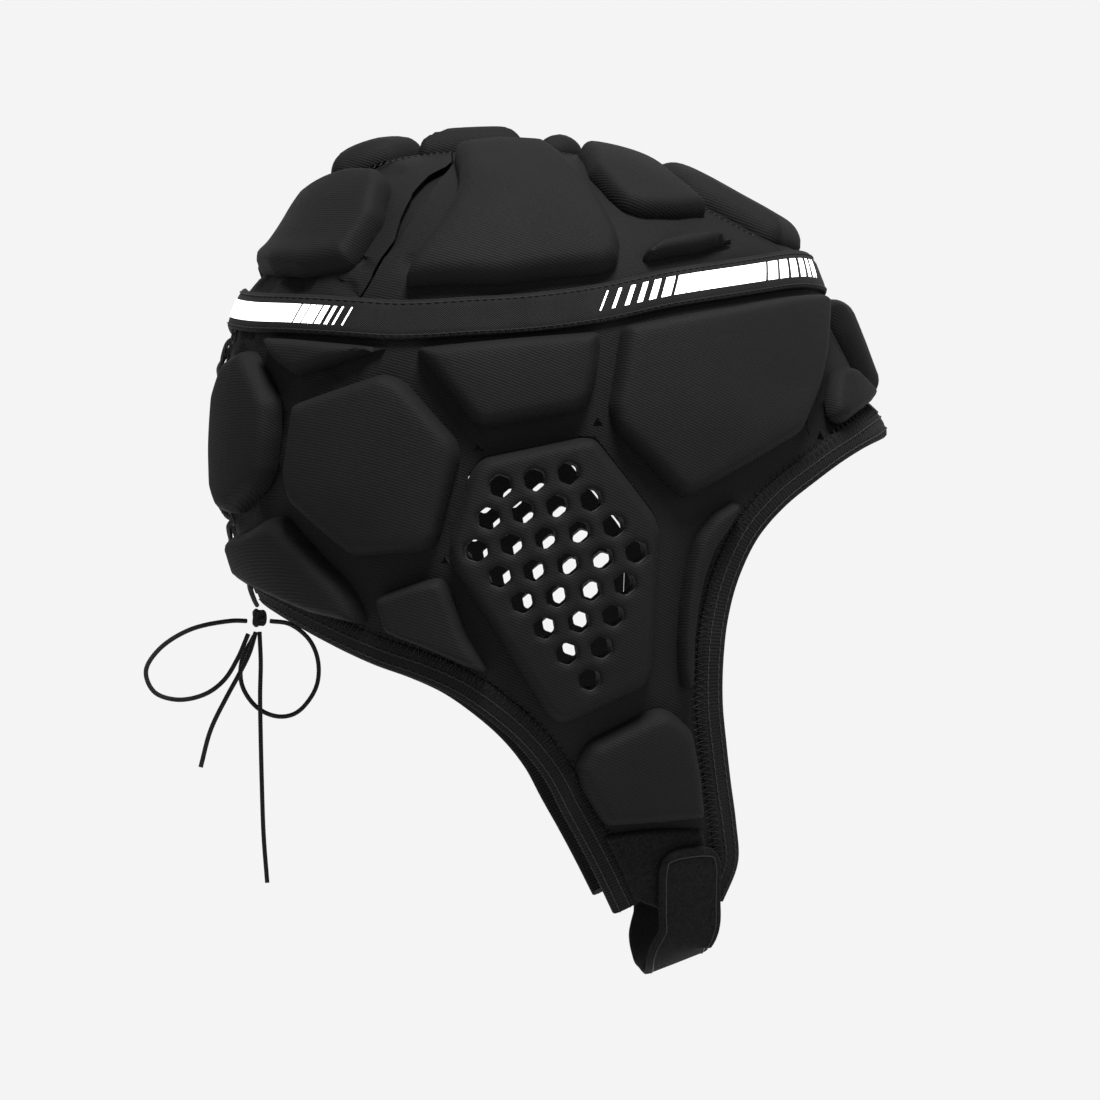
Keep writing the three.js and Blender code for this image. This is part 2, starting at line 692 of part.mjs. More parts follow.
const bindingSection = [
  [0, SHELL / 2],
  [BINDING_PROUD + 0.4, -BINDING_PROUD],
  [BINDING_WIDTH, -BINDING_PROUD],
  [BINDING_WIDTH, SHELL + BINDING_PROUD],
  [BINDING_PROUD + 0.4, SHELL + BINDING_PROUD],
];
const bindingRoom = [
  [-3 * GAP, SHELL / 2],
  [-3 * GAP, -2 * SHELL],
  [BINDING_WIDTH + GAP + BOW_ROOM, -2 * SHELL],
  [BINDING_WIDTH + GAP + BOW_ROOM, 3 * SHELL],
  [-3 * GAP, 3 * SHELL],
];

const FACE_STEPS = 16; // on each side of the brow
const NECK_STEPS = 14;
const rightFaceLine = lineOn(FACE_EDGE, 0, FACE_STEPS);
rightFaceLine[0].x = 0;
const leftFaceLine = rightFaceLine.slice(1).map((p) => new THREE.Vector3(-p.x, p.y, p.z)).reverse();
const faceLine = [...leftFaceLine, ...rightFaceLine];
const neckLine = lineOn(NECK_EDGE, 0, NECK_STEPS);
const faceBinding = edgeStrip(faceLine, bindingSection);
const faceRoom = edgeStrip(runPast(faceLine, BINDING_WIDTH), bindingRoom);
const neckBinding = edgeStrip(neckLine, bindingSection);
const neckRoom = edgeStrip(runPast(neckLine, BINDING_WIDTH), bindingRoom);

// The side outline of the shell runs along the middle of both bindings.
function sideOutline() {
  const inwards = (line, side) => line.map((p, i) => {
    const a = line[Math.max(i - 1, 0)];
    const b = line[Math.min(i + 1, line.length - 1)];
    const along = new THREE.Vector2(b.y - a.y, b.z - a.z).normalize();
    const across = new THREE.Vector2(-along.y, along.x).multiplyScalar(side * BINDING_WIDTH * 0.4);
    return new THREE.Vector2(p.y, p.z).add(across);
  });
  const face = inwards(rightFaceLine, -1);
  const neck = inwards(neckLine, -1);
  const brow = face[0];
  const nape = neck[neck.length - 1];
  return [
    new THREE.Vector2(-far, brow.y), ...face, ...neck, new THREE.Vector2(far, nape.y),
    new THREE.Vector2(far, far), new THREE.Vector2(-far, far)];
}

// The shell's panels, cut from one wall

const wallBody = wall(0, SHELL);
const kept = prism(sideOutline(), alongX, -far, far);
const shell = wallBody.intersect(kept).subtract(faceRoom).subtract(neckRoom).subtract(mirrored(neckRoom));

const nape = lifted(NECK_EDGE[NECK_EDGE.length - 1].turn, NECK_EDGE[NECK_EDGE.length - 1].rise, 0);
const bandBack = lifted(BACK_DIRECTION, BAND_LINE[BAND_LINE.length - 1].rise, 0);

// The gap at the back between the side panels, wider or narrower by a margin.
function backGap(margin) {
  const half = BACK_OPENING / 2 + margin;
  return block(new THREE.Vector3(-half, 0, -far), new THREE.Vector3(half, far, bandBack.z + margin));
}

const laceRoom = block(
  new THREE.Vector3(-BACK_OPENING, 0, nape.z + NAPE_HEM), new THREE.Vector3(BACK_OPENING, far, far));
const laceWall = wall(GAP, GAP + LACE_PANEL_THICK);
const backLacePanel = largest(laceWall.intersect(backGap(-SEAM_GAP)).intersect(laceRoom));

// The upper back behind the slit, as a side outline; the slit's own gap is taken from one side only.
function slitLine(share) {
  const points = SLIT.map((row) => lifted(row.turn, row.rise, SHELL / 2));
  return points.map((p, i) => {
    const a = points[Math.max(i - 1, 0)];
    const b = points[Math.min(i + 1, points.length - 1)];
    const along = new THREE.Vector2(b.y - a.y, b.z - a.z).normalize();
    return new THREE.Vector2(p.y - along.y * SLIT[i].gap * share, p.z + along.x * SLIT[i].gap * share);
  });
}

function behindSlit(share, margin) {
  const line = slitLine(share);
  const first = line[0];
  const last = line[line.length - 1];
  last.y = bandBack.z - margin;
  return prism([
    ...line, new THREE.Vector2(far, last.y), new THREE.Vector2(far, far), new THREE.Vector2(first.x, far),
  ], alongX, -far, far);
}

const stripBack = lifted(BACK_DIRECTION, 48.6, 0);
const stripFront = lifted(0, 82.8, 0);

function crownStripRoom(margin) {
  const half = CROWN_STRIP_WIDTH / 2 + margin;
  return block(
    new THREE.Vector3(-half, stripFront.y - margin, centre.z), new THREE.Vector3(half, stripBack.y + margin, far));
}

function frontRoom(margin) {
  const right = FRONT_SEAM.map((row) => lifted(row.turn, row.rise, SHELL / 2));
  const outline = right.map((p) => new THREE.Vector2(p.x - margin, p.y + (p === right[0] ? margin : 0)));
  outline.push(new THREE.Vector2(outline[outline.length - 1].x, -far));
  const left = outline.map((v) => new THREE.Vector2(-v.x, v.y)).reverse();
  return prism([...outline, ...left], alongZ, -far, far);
}

const crownStrip = largest(shell.intersect(crownStripRoom(0)));
const frontPanel = largest(shell.intersect(frontRoom(0)));
const rearTopPanel = largest(
  shell.intersect(behindSlit(0.5, 0)).subtract(crownStripRoom(SEAM_GAP)));

function vent({ turn, rise }) {
  const seat = padSeat([[turn, rise]]);
  const outline = Array.from({ length: 3 }, (_, i) => {
    const angle = radians(90 + 120 * i);
    const reach = VENT_SIZE / Math.sqrt(3);
    return new THREE.Vector2(reach * Math.cos(angle), reach * Math.sin(angle));
  });
  return prism(outline, seat.frame, -3 * SHELL, 3 * SHELL);
}

const rightHalf = block(new THREE.Vector3(-far, -far, -far), new THREE.Vector3(-SEAM_GAP / 2, far, far));
const sidePanel = largest([
  behindSlit(-0.5, SEAM_GAP), crownStripRoom(SEAM_GAP), frontRoom(SEAM_GAP), backGap(0), earOpening,
  ...VENTS.map(vent),
].reduce((made, cut) => made.subtract(cut), shell.intersect(rightHalf)));

// The headband, a closed ring over the shell

const bandRise = columnCurve(BAND_LINE, "rise", 1, (row) => row.turn / BACK_DIRECTION);
const BAND_STEPS = 36;

function headband() {
  const low = SHELL + GAP + BOW_ROOM;
  const rings = Array.from({ length: BAND_STEPS }, (_, i) => {
    const turn = (360 * i) / BAND_STEPS;
    const rise = bandRise(Math.min(turn, 360 - turn) / BACK_DIRECTION);
    const middle = formPoint(heading(turn, rise));
    const perDegree = formPoint(heading(turn, rise + 1)).distanceTo(middle);
    const half = BAND_WIDTH / 2 / perDegree;
    return [[-half, low], [half, low], [half, low + BAND_THICK], [-half, low + BAND_THICK]]
      .map(([up, height]) => lifted(turn, rise + up, height));
  });
  return loft([...rings, rings[0]], () => {});
}

// The loop panel lies on the right flap's end and runs out below it
const LOOP_PANEL = [
  { rise: -60.9, from: 54.5, to: 80.5 },
  { rise: -63, from: 49, to: 78 },
  { rise: -65.4, from: 46.2, to: 74.4 },
  { rise: -67.2, from: 43.4, to: 75 },
  { rise: -68.8, from: 41, to: 71 },
];
const LOOP_COLUMNS = 4;
const loopFoot = SHELL + BINDING_PROUD + GAP;

function loopPanel() {
  const sheet = (height) => LOOP_PANEL.map(({ rise, from, to }) =>
    Array.from({ length: LOOP_COLUMNS }, (_, i) =>
      lifted(from + ((to - from) * i) / (LOOP_COLUMNS - 1), rise, height)));
  const rows = sheet(loopFoot);
  const above = sheet(loopFoot + LOOP_THICK);
  const rings = rows.map((row, i) => [...row, ...above[i].reverse()]);
  return loft(rings, closedByRungs);
}

function closedByRungs(points, triangles, count, ringCount) {
  rungs(triangles, 0, count, true);
  rungs(triangles, (ringCount - 1) * count, count, false);
}

// The chin strap: sewn to the left flap's end, under the chin and up over the loop panel
const STRAP_FRONT = 0.176; // share of HEAD_LENGTH in front of the origin
const STRAP_ON_LOOP = [0.838, 0.87, 0.905, 0.935]; // shares of HEAD_DEPTH, tab end first
const STRAP_ON_FLAP = [0.93, 0.9, 0.865];
const STRAP_UNDER = [
  { side: -0.3, depth: 0.966 },
  { side: -0.19, depth: 0.985 },
  { side: 0, depth: 0.987 },
  { side: 0.17, depth: 0.983 },
  { side: 0.268, depth: 0.962 },
];
const STRAP_LEAN = 22; // degrees that its front edge is raised under the chin
const TAB_END_SHARE = 0.62; // the tab's end is narrower

function chinStrap() {
  const y = -STRAP_FRONT * HEAD_LENGTH;
  const onForm = (side, depth, height) => {
    const z = -depth * HEAD_DEPTH;
    const foot = crossing(new THREE.Vector3(0, y, z), new THREE.Vector3(side * HEAD_WIDTH, y, z));
    return { at: liftedAt(foot, height), out: formNormal(foot.clone().sub(centre).normalize()) };
  };
  const overLoop = loopFoot + LOOP_THICK + GAP + 2 * BOW_ROOM + STRAP_THICK / 2;
  const overFlap = SHELL + BINDING_PROUD + GAP + BOW_ROOM + STRAP_THICK / 2;
  const lean = radians(STRAP_LEAN);
  const down = new THREE.Vector3(0, -Math.sin(lean), -Math.cos(lean));
  const stations = [
    ...STRAP_ON_LOOP.map((depth) => onForm(-1, depth, overLoop)),
    ...STRAP_UNDER.map(({ side, depth }) => ({
      at: new THREE.Vector3(side * HEAD_WIDTH, y, -depth * HEAD_DEPTH),
      out: down.clone().add(new THREE.Vector3(3 * side, 0, 0)).normalize() })),
    ...STRAP_ON_FLAP.map((depth) => onForm(1, depth, overFlap)),
  ];
  const rings = stations.map(({ at, out }, i) => {
    const before = stations[Math.max(i - 1, 0)].at;
    const after = stations[Math.min(i + 1, stations.length - 1)].at;
    const along = after.clone().sub(before).normalize();
    const side = along.clone().cross(out).normalize();
    const up = side.clone().cross(along);
    const half = (i === 0 ? TAB_END_SHARE : 1) * STRAP_WIDTH / 2;
    return [[-half, -1], [half, -1], [half, 1], [-half, 1]].map(([a, b]) =>
      at.clone().addScaledVector(side, a).addScaledVector(up, (b * STRAP_THICK) / 2));
  });
  return loft(rings, closedByRungs);
}

// Lace

const LACE_SIDES = 6;
const LACING_SIDES = 5; // where it is held against the back

function tube(points, steps, sides = LACE_SIDES) {
  const section = new THREE.Shape(Array.from({ length: sides }, (_, i) => {
    const angle = (2 * Math.PI * i) / sides;
    return new THREE.Vector2(Math.cos(angle), Math.sin(angle)).multiplyScalar(LACE_THICK / 2);
  }));
  const extrudePath = new THREE.CatmullRomCurve3(points);
  return solid(new THREE.ExtrudeGeometry(section, { steps, extrudePath, bevelEnabled: false }));
}

// The lace's free route behind the nape, chosen by hand, in millimetres
const KNOT = new THREE.Vector3(0, 96.2, -149.2);
const KNOT_SIZE = new THREE.Vector3(6, 6.4, 7.6);
const LACE_ROUTES = {
  lace_bow_back: { steps: 16, points: [[-1.2, 99.9, -150.2], [-3, 105, -150.2], [-5, 118, -153], [-6, 128, -159.4],
    [-6, 132.2, -166.4], [-6, 129.6, -173], [-5.4, 122.4, -175.6], [-4.6, 113.6, -174], [-3.8, 107.4, -169.6],
    [-3, 102.8, -162.4], [-2, 99.4, -154.4]] },
  lace_bow_front: { steps: 15, points: [[1.2, 92.4, -150.2], [3, 86, -151.2], [5, 79.6, -156.4], [6, 76.8, -163.6],
    [6.4, 77.6, -172], [6, 83.6, -179.8], [5.2, 89.6, -181.2], [4.4, 96.4, -178.4], [3.6, 101.4, -171.2],
    [3, 101.6, -163.4], [2.2, 97.6, -155]] },
  lace_tail_short: { steps: 9, points: [[-0.8, 97, -153.8], [-2, 99, -160.6], [-3, 102.4, -167.6],
    [-4, 106.2, -174.6], [-4.6, 111.4, -185.4], [-5, 114.6, -197.4]] },
  lace_tail_long: { steps: 16, points: [[0.6, 95.8, -153.7], [1.6, 95.4, -163.6], [2.2, 95.6, -174], [2.6, 95.4, -187.2],
    [2.8, 95, -203.2], [2.6, 94.4, -219.6], [2.2, 93.2, -235]] },
};

const EYELET_RISES = [19, 9.2, -1.6, -11.8, -21]; // where the lace turns back at the rear edges
const EYELET_TURN = 10.6;
const NAPE_EXIT = { turn: 3.4, rise: -26.4 };

// One strand of the lacing, from side to side down the elastic panel and on to the knot.
function lacingStrand(side) {
  const height = GAP + LACE_PANEL_THICK + GAP + (BOW_ROOM + LACE_THICK) / 2;
  const points = EYELET_RISES.map((rise, i) =>
    lifted(BACK_DIRECTION + (i % 2 ? -side : side) * EYELET_TURN, rise, height));
  const runs = points.slice(1).map((p, i) => {
    const direction = points[i].clone().lerp(p, 0.5).sub(centre).normalize();
    return tube([points[i], liftedAt(formPoint(direction), height), p], 2, LACING_SIDES);
  });
  const last = points[points.length - 1];
  const exitSide = Math.sign(last.x);
  const exit = lifted(BACK_DIRECTION + exitSide * NAPE_EXIT.turn, NAPE_EXIT.rise, height);
  const end = new THREE.Vector3(exitSide, KNOT.y + 0.4, KNOT.z + KNOT_SIZE.z / 2 + GAP);
  return wasm.Manifold.union([...runs, tube([last, exit, end], 4, LACING_SIDES)]);
}

function knot() {
  const ball = new THREE.SphereGeometry(0.5, 8, 6);
  ball.scale(KNOT_SIZE.x, KNOT_SIZE.y, KNOT_SIZE.z);
  ball.translate(KNOT.x, KNOT.y, KNOT.z);
  return solid(ball);
}

// The assembly

const cap = new THREE.Group();
const finishes = {
  jersey: new THREE.MeshStandardMaterial({ color: 0x17181a, roughness: 0.85, metalness: 0 }),
  knit: new THREE.MeshStandardMaterial({ color: 0x101113, roughness: 0.9, metalness: 0 }),
  webbing: new THREE.MeshStandardMaterial({ color: 0x141517, roughness: 0.7, metalness: 0 }),
  pile: new THREE.MeshStandardMaterial({ color: 0x0e0f10, roughness: 1, metalness: 0 }),
  cord: new THREE.MeshStandardMaterial({ color: 0x1b1b1c, roughness: 0.6, metalness: 0 }),
};

function add(name, made, finish) {
  const mesh = new THREE.Mesh(geometryOf(made), finishes[finish]);
  mesh.name = name;
  cap.add(mesh);
}

function addPair(name, made, finish) {
  add(`${name}_right`, made, finish);
  add(`${name}_left`, mirrored(made), finish);
}

addPair("side_panel", sidePanel, "jersey");
add("front_panel", frontPanel, "jersey");
add("crown_strip", crownStrip, "jersey");
add("rear_top_panel", rearTopPanel, "jersey");
add("back_lace_panel", backLacePanel, "knit");
add("headband", headband(), "webbing");
add("face_binding", faceBinding, "knit");
addPair("neck_binding", neckBinding, "knit");
addPair("ear_pad", earPad, "jersey");
for (const [name, { corners, low, steep }] of Object.entries(SIDE_PADS)) {
  addPair(name, pad(corners, low, steep), "jersey");
}
addPair("cheek_edge_pad", ridgePad(CHEEK_RIDGE), "jersey");
for (const [name, { corners, low }] of Object.entries(MIDLINE_PADS)) {
  add(name, pad(wholeOutline(corners), low), "jersey");
}
add("loop_panel_right", loopPanel(), "pile");
add("chin_strap", chinStrap(), "webbing");
add("back_lacing", lacingStrand(1).add(lacingStrand(-1)), "cord");
add("lace_knot", knot(), "cord");
for (const [name, { steps, points }] of Object.entries(LACE_ROUTES)) {
  add(name, tube(points.map((p) => new THREE.Vector3(...p)), steps), "cord");
}

export default cap;
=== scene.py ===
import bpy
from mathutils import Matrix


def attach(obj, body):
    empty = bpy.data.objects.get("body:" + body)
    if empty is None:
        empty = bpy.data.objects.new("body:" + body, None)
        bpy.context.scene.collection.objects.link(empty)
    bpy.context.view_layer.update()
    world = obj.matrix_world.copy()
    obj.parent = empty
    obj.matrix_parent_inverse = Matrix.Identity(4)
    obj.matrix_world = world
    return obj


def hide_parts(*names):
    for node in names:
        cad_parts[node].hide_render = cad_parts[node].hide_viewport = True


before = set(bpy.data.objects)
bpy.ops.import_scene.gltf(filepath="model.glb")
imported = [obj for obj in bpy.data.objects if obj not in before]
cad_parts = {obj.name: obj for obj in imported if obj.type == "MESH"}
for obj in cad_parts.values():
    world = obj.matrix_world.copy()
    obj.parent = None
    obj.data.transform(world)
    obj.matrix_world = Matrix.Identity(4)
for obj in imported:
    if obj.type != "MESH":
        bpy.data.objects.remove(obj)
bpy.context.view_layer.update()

# %% [markdown]
# The camera comes first, with the lace, because both decide what the picture can show.
# The cap is seen in profile from its right side, from about a metre and a half away.

# %% The camera
import math

import bmesh
import bpy
import numpy as np
from mathutils import Vector
from mathutils.geometry import delaunay_2d_cdt

MM = 0.001
SENSOR = 36.0
PICTURE_WIDTH = 357.5  # millimetres of the scene across the picture, where the cap's middle is
EYE_DISTANCE = 1480.0
AIM = np.array([0.0, 1.6, -127.1])
LOOK = np.array([1.0, -0.049, 0.023])
LOOK /= np.linalg.norm(LOOK)

camera_data = bpy.data.cameras.new("camera")
camera_data.sensor_width = SENSOR
camera_data.lens = SENSOR * EYE_DISTANCE / PICTURE_WIDTH
camera_data.clip_start = 0.05
camera = bpy.data.objects.new("camera", camera_data)
bpy.context.scene.collection.objects.link(camera)
camera.location = Vector((AIM - LOOK * EYE_DISTANCE) * MM)
camera.rotation_euler = Vector(LOOK).to_track_quat("-Z", "Y").to_euler()
bpy.context.scene.camera = camera
print("lens", round(camera_data.lens, 1), "mm")

# %% [markdown]
# A material is cloth when it has three scales: the colour's slow drift, the yarn's own pattern
# and the soft sheen of fibres that stand up. Every finish here is mixed from those.


# %% Helpers for materials
def new_material(name, colour, roughness, sheen=0.006, sheen_roughness=0.4, shine=0.02):
    material = bpy.data.materials.new(name)
    material.use_nodes = True
    shader = material.node_tree.nodes["Principled BSDF"]
    shader.inputs["Base Color"].default_value = (*colour, 1)
    shader.inputs["Roughness"].default_value = roughness
    shader.inputs["Specular IOR Level"].default_value = shine
    shader.inputs["Sheen Weight"].default_value = sheen
    shader.inputs["Sheen Roughness"].default_value = sheen_roughness
    shader.inputs["Sheen Tint"].default_value = (0.62, 0.62, 0.64, 1)
    return material


def node(material, kind, **values):
    made = material.node_tree.nodes.new(kind)
    for name, value in values.items():
        if name in made.inputs:
            made.inputs[name].default_value = value
        else:
            setattr(made, name, value)
    return made


def join(material, source, target):
    material.node_tree.links.new(source, target)


def noise(material, scale, detail=2.0, stretch=(1, 1, 1)):
    place = node(material, "ShaderNodeTexCoord")
    sized = node(material, "ShaderNodeMapping")
    sized.inputs["Scale"].default_value = stretch
    grain = node(material, "ShaderNodeTexNoise", Scale=scale, Detail=detail)
    join(material, place.outputs["Object"], sized.inputs["Vector"])
    join(material, sized.outputs["Vector"], grain.inputs["Vector"])
    return grain.outputs["Fac"]


def ribs(material, value, pitch):
    """A sine wave of a value, one rib a pitch."""
    turned = node(material, "ShaderNodeMath", operation="MULTIPLY")
    turned.inputs[1].default_value = 2 * math.pi / pitch
    join(material, value, turned.inputs[0])
    wave = node(material, "ShaderNodeMath", operation="SINE")
    join(material, turned.outputs[0], wave.inputs[0])
    return wave.outputs[0]


def waves(material, pitch, along):
    """Ribs a pitch apart in metres, counted along a direction."""
    place = node(material, "ShaderNodeTexCoord")
    dot = node(material, "ShaderNodeVectorMath", operation="DOT_PRODUCT")
    dot.inputs[1].default_value = along
    join(material, place.outputs["Object"], dot.inputs[0])
    return ribs(material, dot.outputs["Value"], pitch)


def uv_waves(material, pitch, axis):
    """Ribs a pitch apart in millimetres of the piece's own unrolled length or width."""
    place = node(material, "ShaderNodeUVMap", uv_map="cloth")
    parts = node(material, "ShaderNodeSeparateXYZ")
    join(material, place.outputs["UV"], parts.inputs["Vector"])
    return ribs(material, parts.outputs["XY".index(axis)], pitch)


def mixed(material, operation, a, b):
    made = node(material, "ShaderNodeMath", operation=operation)
    for socket, value in zip(made.inputs, (a, b)):
        if isinstance(value, (int, float)):
            socket.default_value = value
        else:
            join(material, value, socket)
    return made.outputs[0]


def bumps(material, height, depth, under=None):
    """Relief of a depth in metres; it stacks on the relief under it."""
    bump = node(material, "ShaderNodeBump", Strength=1.0, Distance=depth)
    join(material, height, bump.inputs["Height"])
    if under:
        join(material, under, bump.inputs["Normal"])
    return bump.outputs["Normal"]


def tinted(material, share, dark, light):
    """The cloth's colour drifts between two shades."""
    ramp = node(material, "ShaderNodeMix", data_type="RGBA")
    ramp.inputs[6].default_value = (*dark, 1)
    ramp.inputs[7].default_value = (*light, 1)
    join(material, share, ramp.inputs[0])
    join(material, ramp.outputs[2], material.node_tree.nodes["Principled BSDF"].inputs["Base Color"])


def finish_with(material, normal):
    join(material, normal, material.node_tree.nodes["Principled BSDF"].inputs["Normal"])


# %% [markdown]
# The main cloth is a fine stretch jersey, laminated over foam. Its stitches are under half a
# millimetre, so they show as a fine grain, and the foam's skin under it adds a softer dimpling.

# %% Jersey
jersey = new_material("jersey", (0.0035, 0.0035, 0.0037), 0.6, sheen=0.006)
fine = noise(jersey, 3200, 2)
soft = noise(jersey, 420, 3)
slow = noise(jersey, 28, 3)
tinted(jersey, slow, (0.0026, 0.0026, 0.0028), (0.0045, 0.0045, 0.0047))
relief = bumps(jersey, soft, 0.00012)
wales = bumps(jersey, waves(jersey, 0.00085, (0.25, -0.35, 0.9)), 0.00004, relief)
finish_with(jersey, bumps(jersey, fine, 0.00016, wales))

# %% Ribbed knit for the bindings, woven web for band and strap, pile, cord and thread
knit = new_material("ribbed_knit", (0.0031, 0.0031, 0.0034), 0.75, sheen=0.01)
rib = uv_waves(knit, 1.05, "X")
stitch = uv_waves(knit, 0.8, "Y")
tinted(knit, noise(knit, 60), (0.0024, 0.0024, 0.0025), (0.0046, 0.0046, 0.0050))
ribbed = bumps(knit, mixed(knit, "ADD", rib, mixed(knit, "MULTIPLY", stitch, 0.35)), 0.00012)
finish_with(knit, bumps(knit, noise(knit, 2600), 0.00014, ribbed))

elastic = new_material("elastic_rib", (0.0031, 0.0031, 0.0034), 0.75, sheen=0.01)
tinted(elastic, noise(elastic, 60), (0.0024, 0.0024, 0.0025), (0.0050, 0.0050, 0.0052))
ribbed = bumps(elastic, waves(elastic, 0.0021, (1, 0, 0)), 0.0003)
finish_with(elastic, bumps(elastic, noise(elastic, 1500, 2, (1, 1, 0.4)), 0.0003, ribbed))

web = new_material("woven_web", (0.0045, 0.0045, 0.0048), 0.6, sheen=0.01)
over = uv_waves(web, 0.9, "X")
under = uv_waves(web, 0.62, "Y")
tinted(web, noise(web, 90), (0.0035, 0.0035, 0.0036), (0.0067, 0.0067, 0.0072))
woven = bumps(web, mixed(web, "MULTIPLY", over, under), 0.00010)
finish_with(web, bumps(web, noise(web, 2200), 0.00012, woven))

pile = new_material("loop_pile", (0.0018, 0.0018, 0.0019), 1.0, sheen=0.015, sheen_roughness=0.6)
tinted(pile, noise(pile, 700, 4), (0.0006, 0.0006, 0.0006), (0.0046, 0.0046, 0.0048))
tufts = bumps(pile, noise(pile, 900, 4), 0.0009)
finish_with(pile, bumps(pile, noise(pile, 2800, 2), 0.0004, tufts))

brushed = new_material("brushed_web", (0.002, 0.002, 0.0021), 0.95, sheen=0.012)
tinted(brushed, noise(brushed, 900, 4), (0.0003, 0.0003, 0.0003), (0.0058, 0.0058, 0.006))
nap = bumps(brushed, noise(brushed, 1500, 4, (1, 1, 1.6)), 0.0005)
finish_with(brushed, bumps(brushed, noise(brushed, 3200, 2), 0.0003, nap))

foam_edge = new_material("cut_foam", (0.02, 0.02, 0.021), 0.95, shine=0.08)
tinted(foam_edge, noise(foam_edge, 1800, 3), (0.012, 0.012, 0.0125), (0.034, 0.034, 0.035))
finish_with(foam_edge, bumps(foam_edge, noise(foam_edge, 2400, 3), 0.0004))

cord = new_material("braided_lace", (0.006, 0.006, 0.0064), 0.55, sheen=0.04)
across = waves(cord, 0.0011, (0.3, 0.7, 0.7))
back = waves(cord, 0.0011, (0.3, -0.7, 0.7))
tinted(cord, noise(cord, 400), (0.004, 0.004, 0.0042), (0.009, 0.009, 0.0095))
finish_with(cord, bumps(cord, mixed(cord, "MULTIPLY", across, back), 0.00018))

thread = new_material("thread", (0.008, 0.008, 0.0085), 0.5, sheen=0.04)
tinted(thread, noise(thread, 900), (0.006, 0.006, 0.0063), (0.013, 0.013, 0.0138))

print_white = new_material("reflective_print", (0.86, 0.87, 0.88), 0.42, sheen=0.0)
tinted(print_white, noise(print_white, 1400, 3), (0.74, 0.75, 0.76), (0.9, 0.905, 0.91))
finish_with(print_white, bumps(print_white, noise(print_white, 3000), 0.00006))
print(len(bpy.data.materials), "materials")

# %% [markdown]
# The cap's shape is the shape of a head. The same table of head sections that made the solids
# is repeated here, so each fine surface can be laid on the head at an exact height.

# %% The head form
HEAD_LENGTH = 211.0
HEAD_WIDTH = 155.0
HEAD_DEPTH = 262.0
SHELL = 2.5
POLE_Y = 0.057 * HEAD_LENGTH
CENTRE = np.array([0.0, 0.0, -0.363 * HEAD_DEPTH])
ROUNDNESS = 2.25
# Columns: depth, side, front and back, as shares of the head's depth, width and length
FORM = np.array([
    (0, 0, 0, 0), (0.019, 0.2, 0.156, 0.227), (0.05, 0.303, 0.251, 0.284), (0.08, 0.368, 0.318, 0.313),
    (0.107, 0.406, 0.379, 0.332), (0.134, 0.435, 0.436, 0.355), (0.176, 0.465, 0.457, 0.408),
    (0.229, 0.484, 0.483, 0.431), (0.298, 0.497, 0.521, 0.443), (0.351, 0.5, 0.555, 0.445),
    (0.412, 0.5, 0.559, 0.443), (0.485, 0.494, 0.55, 0.417), (0.553, 0.484, 0.531, 0.384),
    (0.649, 0.465, 0.502, 0.351), (0.763, 0.426, 0.464, 0.322), (0.859, 0.387, 0.427, 0.299),
    (0.935, 0.342, 0.379, 0.275), (1, 0.284, 0.332, 0.246)])


def quiet_curve(at, values):
    """A smooth curve through the rows that never overshoots them."""
    rises = np.diff(values) / np.diff(at)
    slope = np.zeros(len(at))
    slope[0], slope[-1] = rises[0], rises[-1]
    for i in range(1, len(at) - 1):
        if rises[i - 1] * rises[i] > 0:
            before, after = at[i] - at[i - 1], at[i + 1] - at[i]
            first, second = 2 * after + before, after + 2 * before
            slope[i] = (first + second) / (first / rises[i - 1] + second / rises[i])

    def curve(t):
        t = np.asarray(t, float)
        i = np.clip(np.searchsorted(at, t, side="right") - 1, 0, len(at) - 2)
        span = at[i + 1] - at[i]
        s = (t - at[i]) / span
        inside = ((1 + 2 * s) * (1 - s) ** 2 * values[i] + s * (1 - s) ** 2 * span * slope[i]
                  + s * s * (3 - 2 * s) * values[i + 1] + s * s * (s - 1) * span * slope[i + 1])
        return np.where(t >= at[-1], values[-1] + slope[-1] * (t - at[-1]), inside)

    return curve


depth_at = np.sqrt(FORM[:, 0])
side_reach = quiet_curve(depth_at, FORM[:, 1] * HEAD_WIDTH)
front_reach = quiet_curve(depth_at, FORM[:, 2] * HEAD_LENGTH)
back_reach = quiet_curve(depth_at, FORM[:, 3] * HEAD_LENGTH)


def level(points):
    """Below zero inside the head form, above zero outside it."""
    depth = np.maximum(-points[..., 2], 0)
    t = np.sqrt(depth / HEAD_DEPTH)
    side = np.maximum(side_reach(t), 0.01)
    along = np.maximum(np.where(points[..., 1] < POLE_Y, front_reach(t), back_reach(t)), 0.01)
    across = (np.abs(points[..., 0]) / side) ** ROUNDNESS
    value = across + (np.abs(points[..., 1] - POLE_Y) / along) ** ROUNDNESS
    return np.where(depth <= 1e-6, 9.0, value - 1)


def crossing(inner, outer):
    inner, outer = np.array(inner, float), np.array(outer, float)
    for _ in range(32):
        middle = (inner + outer) / 2
        within = (level(middle) < 0)[..., None]
        inner = np.where(within, middle, inner)
        outer = np.where(within, outer, middle)
    return inner


def unit(v):
    return v / np.maximum(np.linalg.norm(v, axis=-1, keepdims=True), 1e-12)


def form_point(direction):
    start = np.broadcast_to(CENTRE, direction.shape)
    return crossing(start, start + direction * 2 * HEAD_DEPTH)


def form_normal(direction):
    step = 0.01
    across = np.cross(np.array([0.0, 0.0, 1.0]), direction)
    flat = np.linalg.norm(across, axis=-1, keepdims=True) < 1e-3
    across = unit(np.where(flat, np.array([1.0, 0.0, 0.0]), across))
    up = np.cross(direction, across)
    a = form_point(unit(direction + across * step)) - form_point(unit(direction - across * step))
    b = form_point(unit(direction + up * step)) - form_point(unit(direction - up * step))
    return unit(np.cross(a, b))


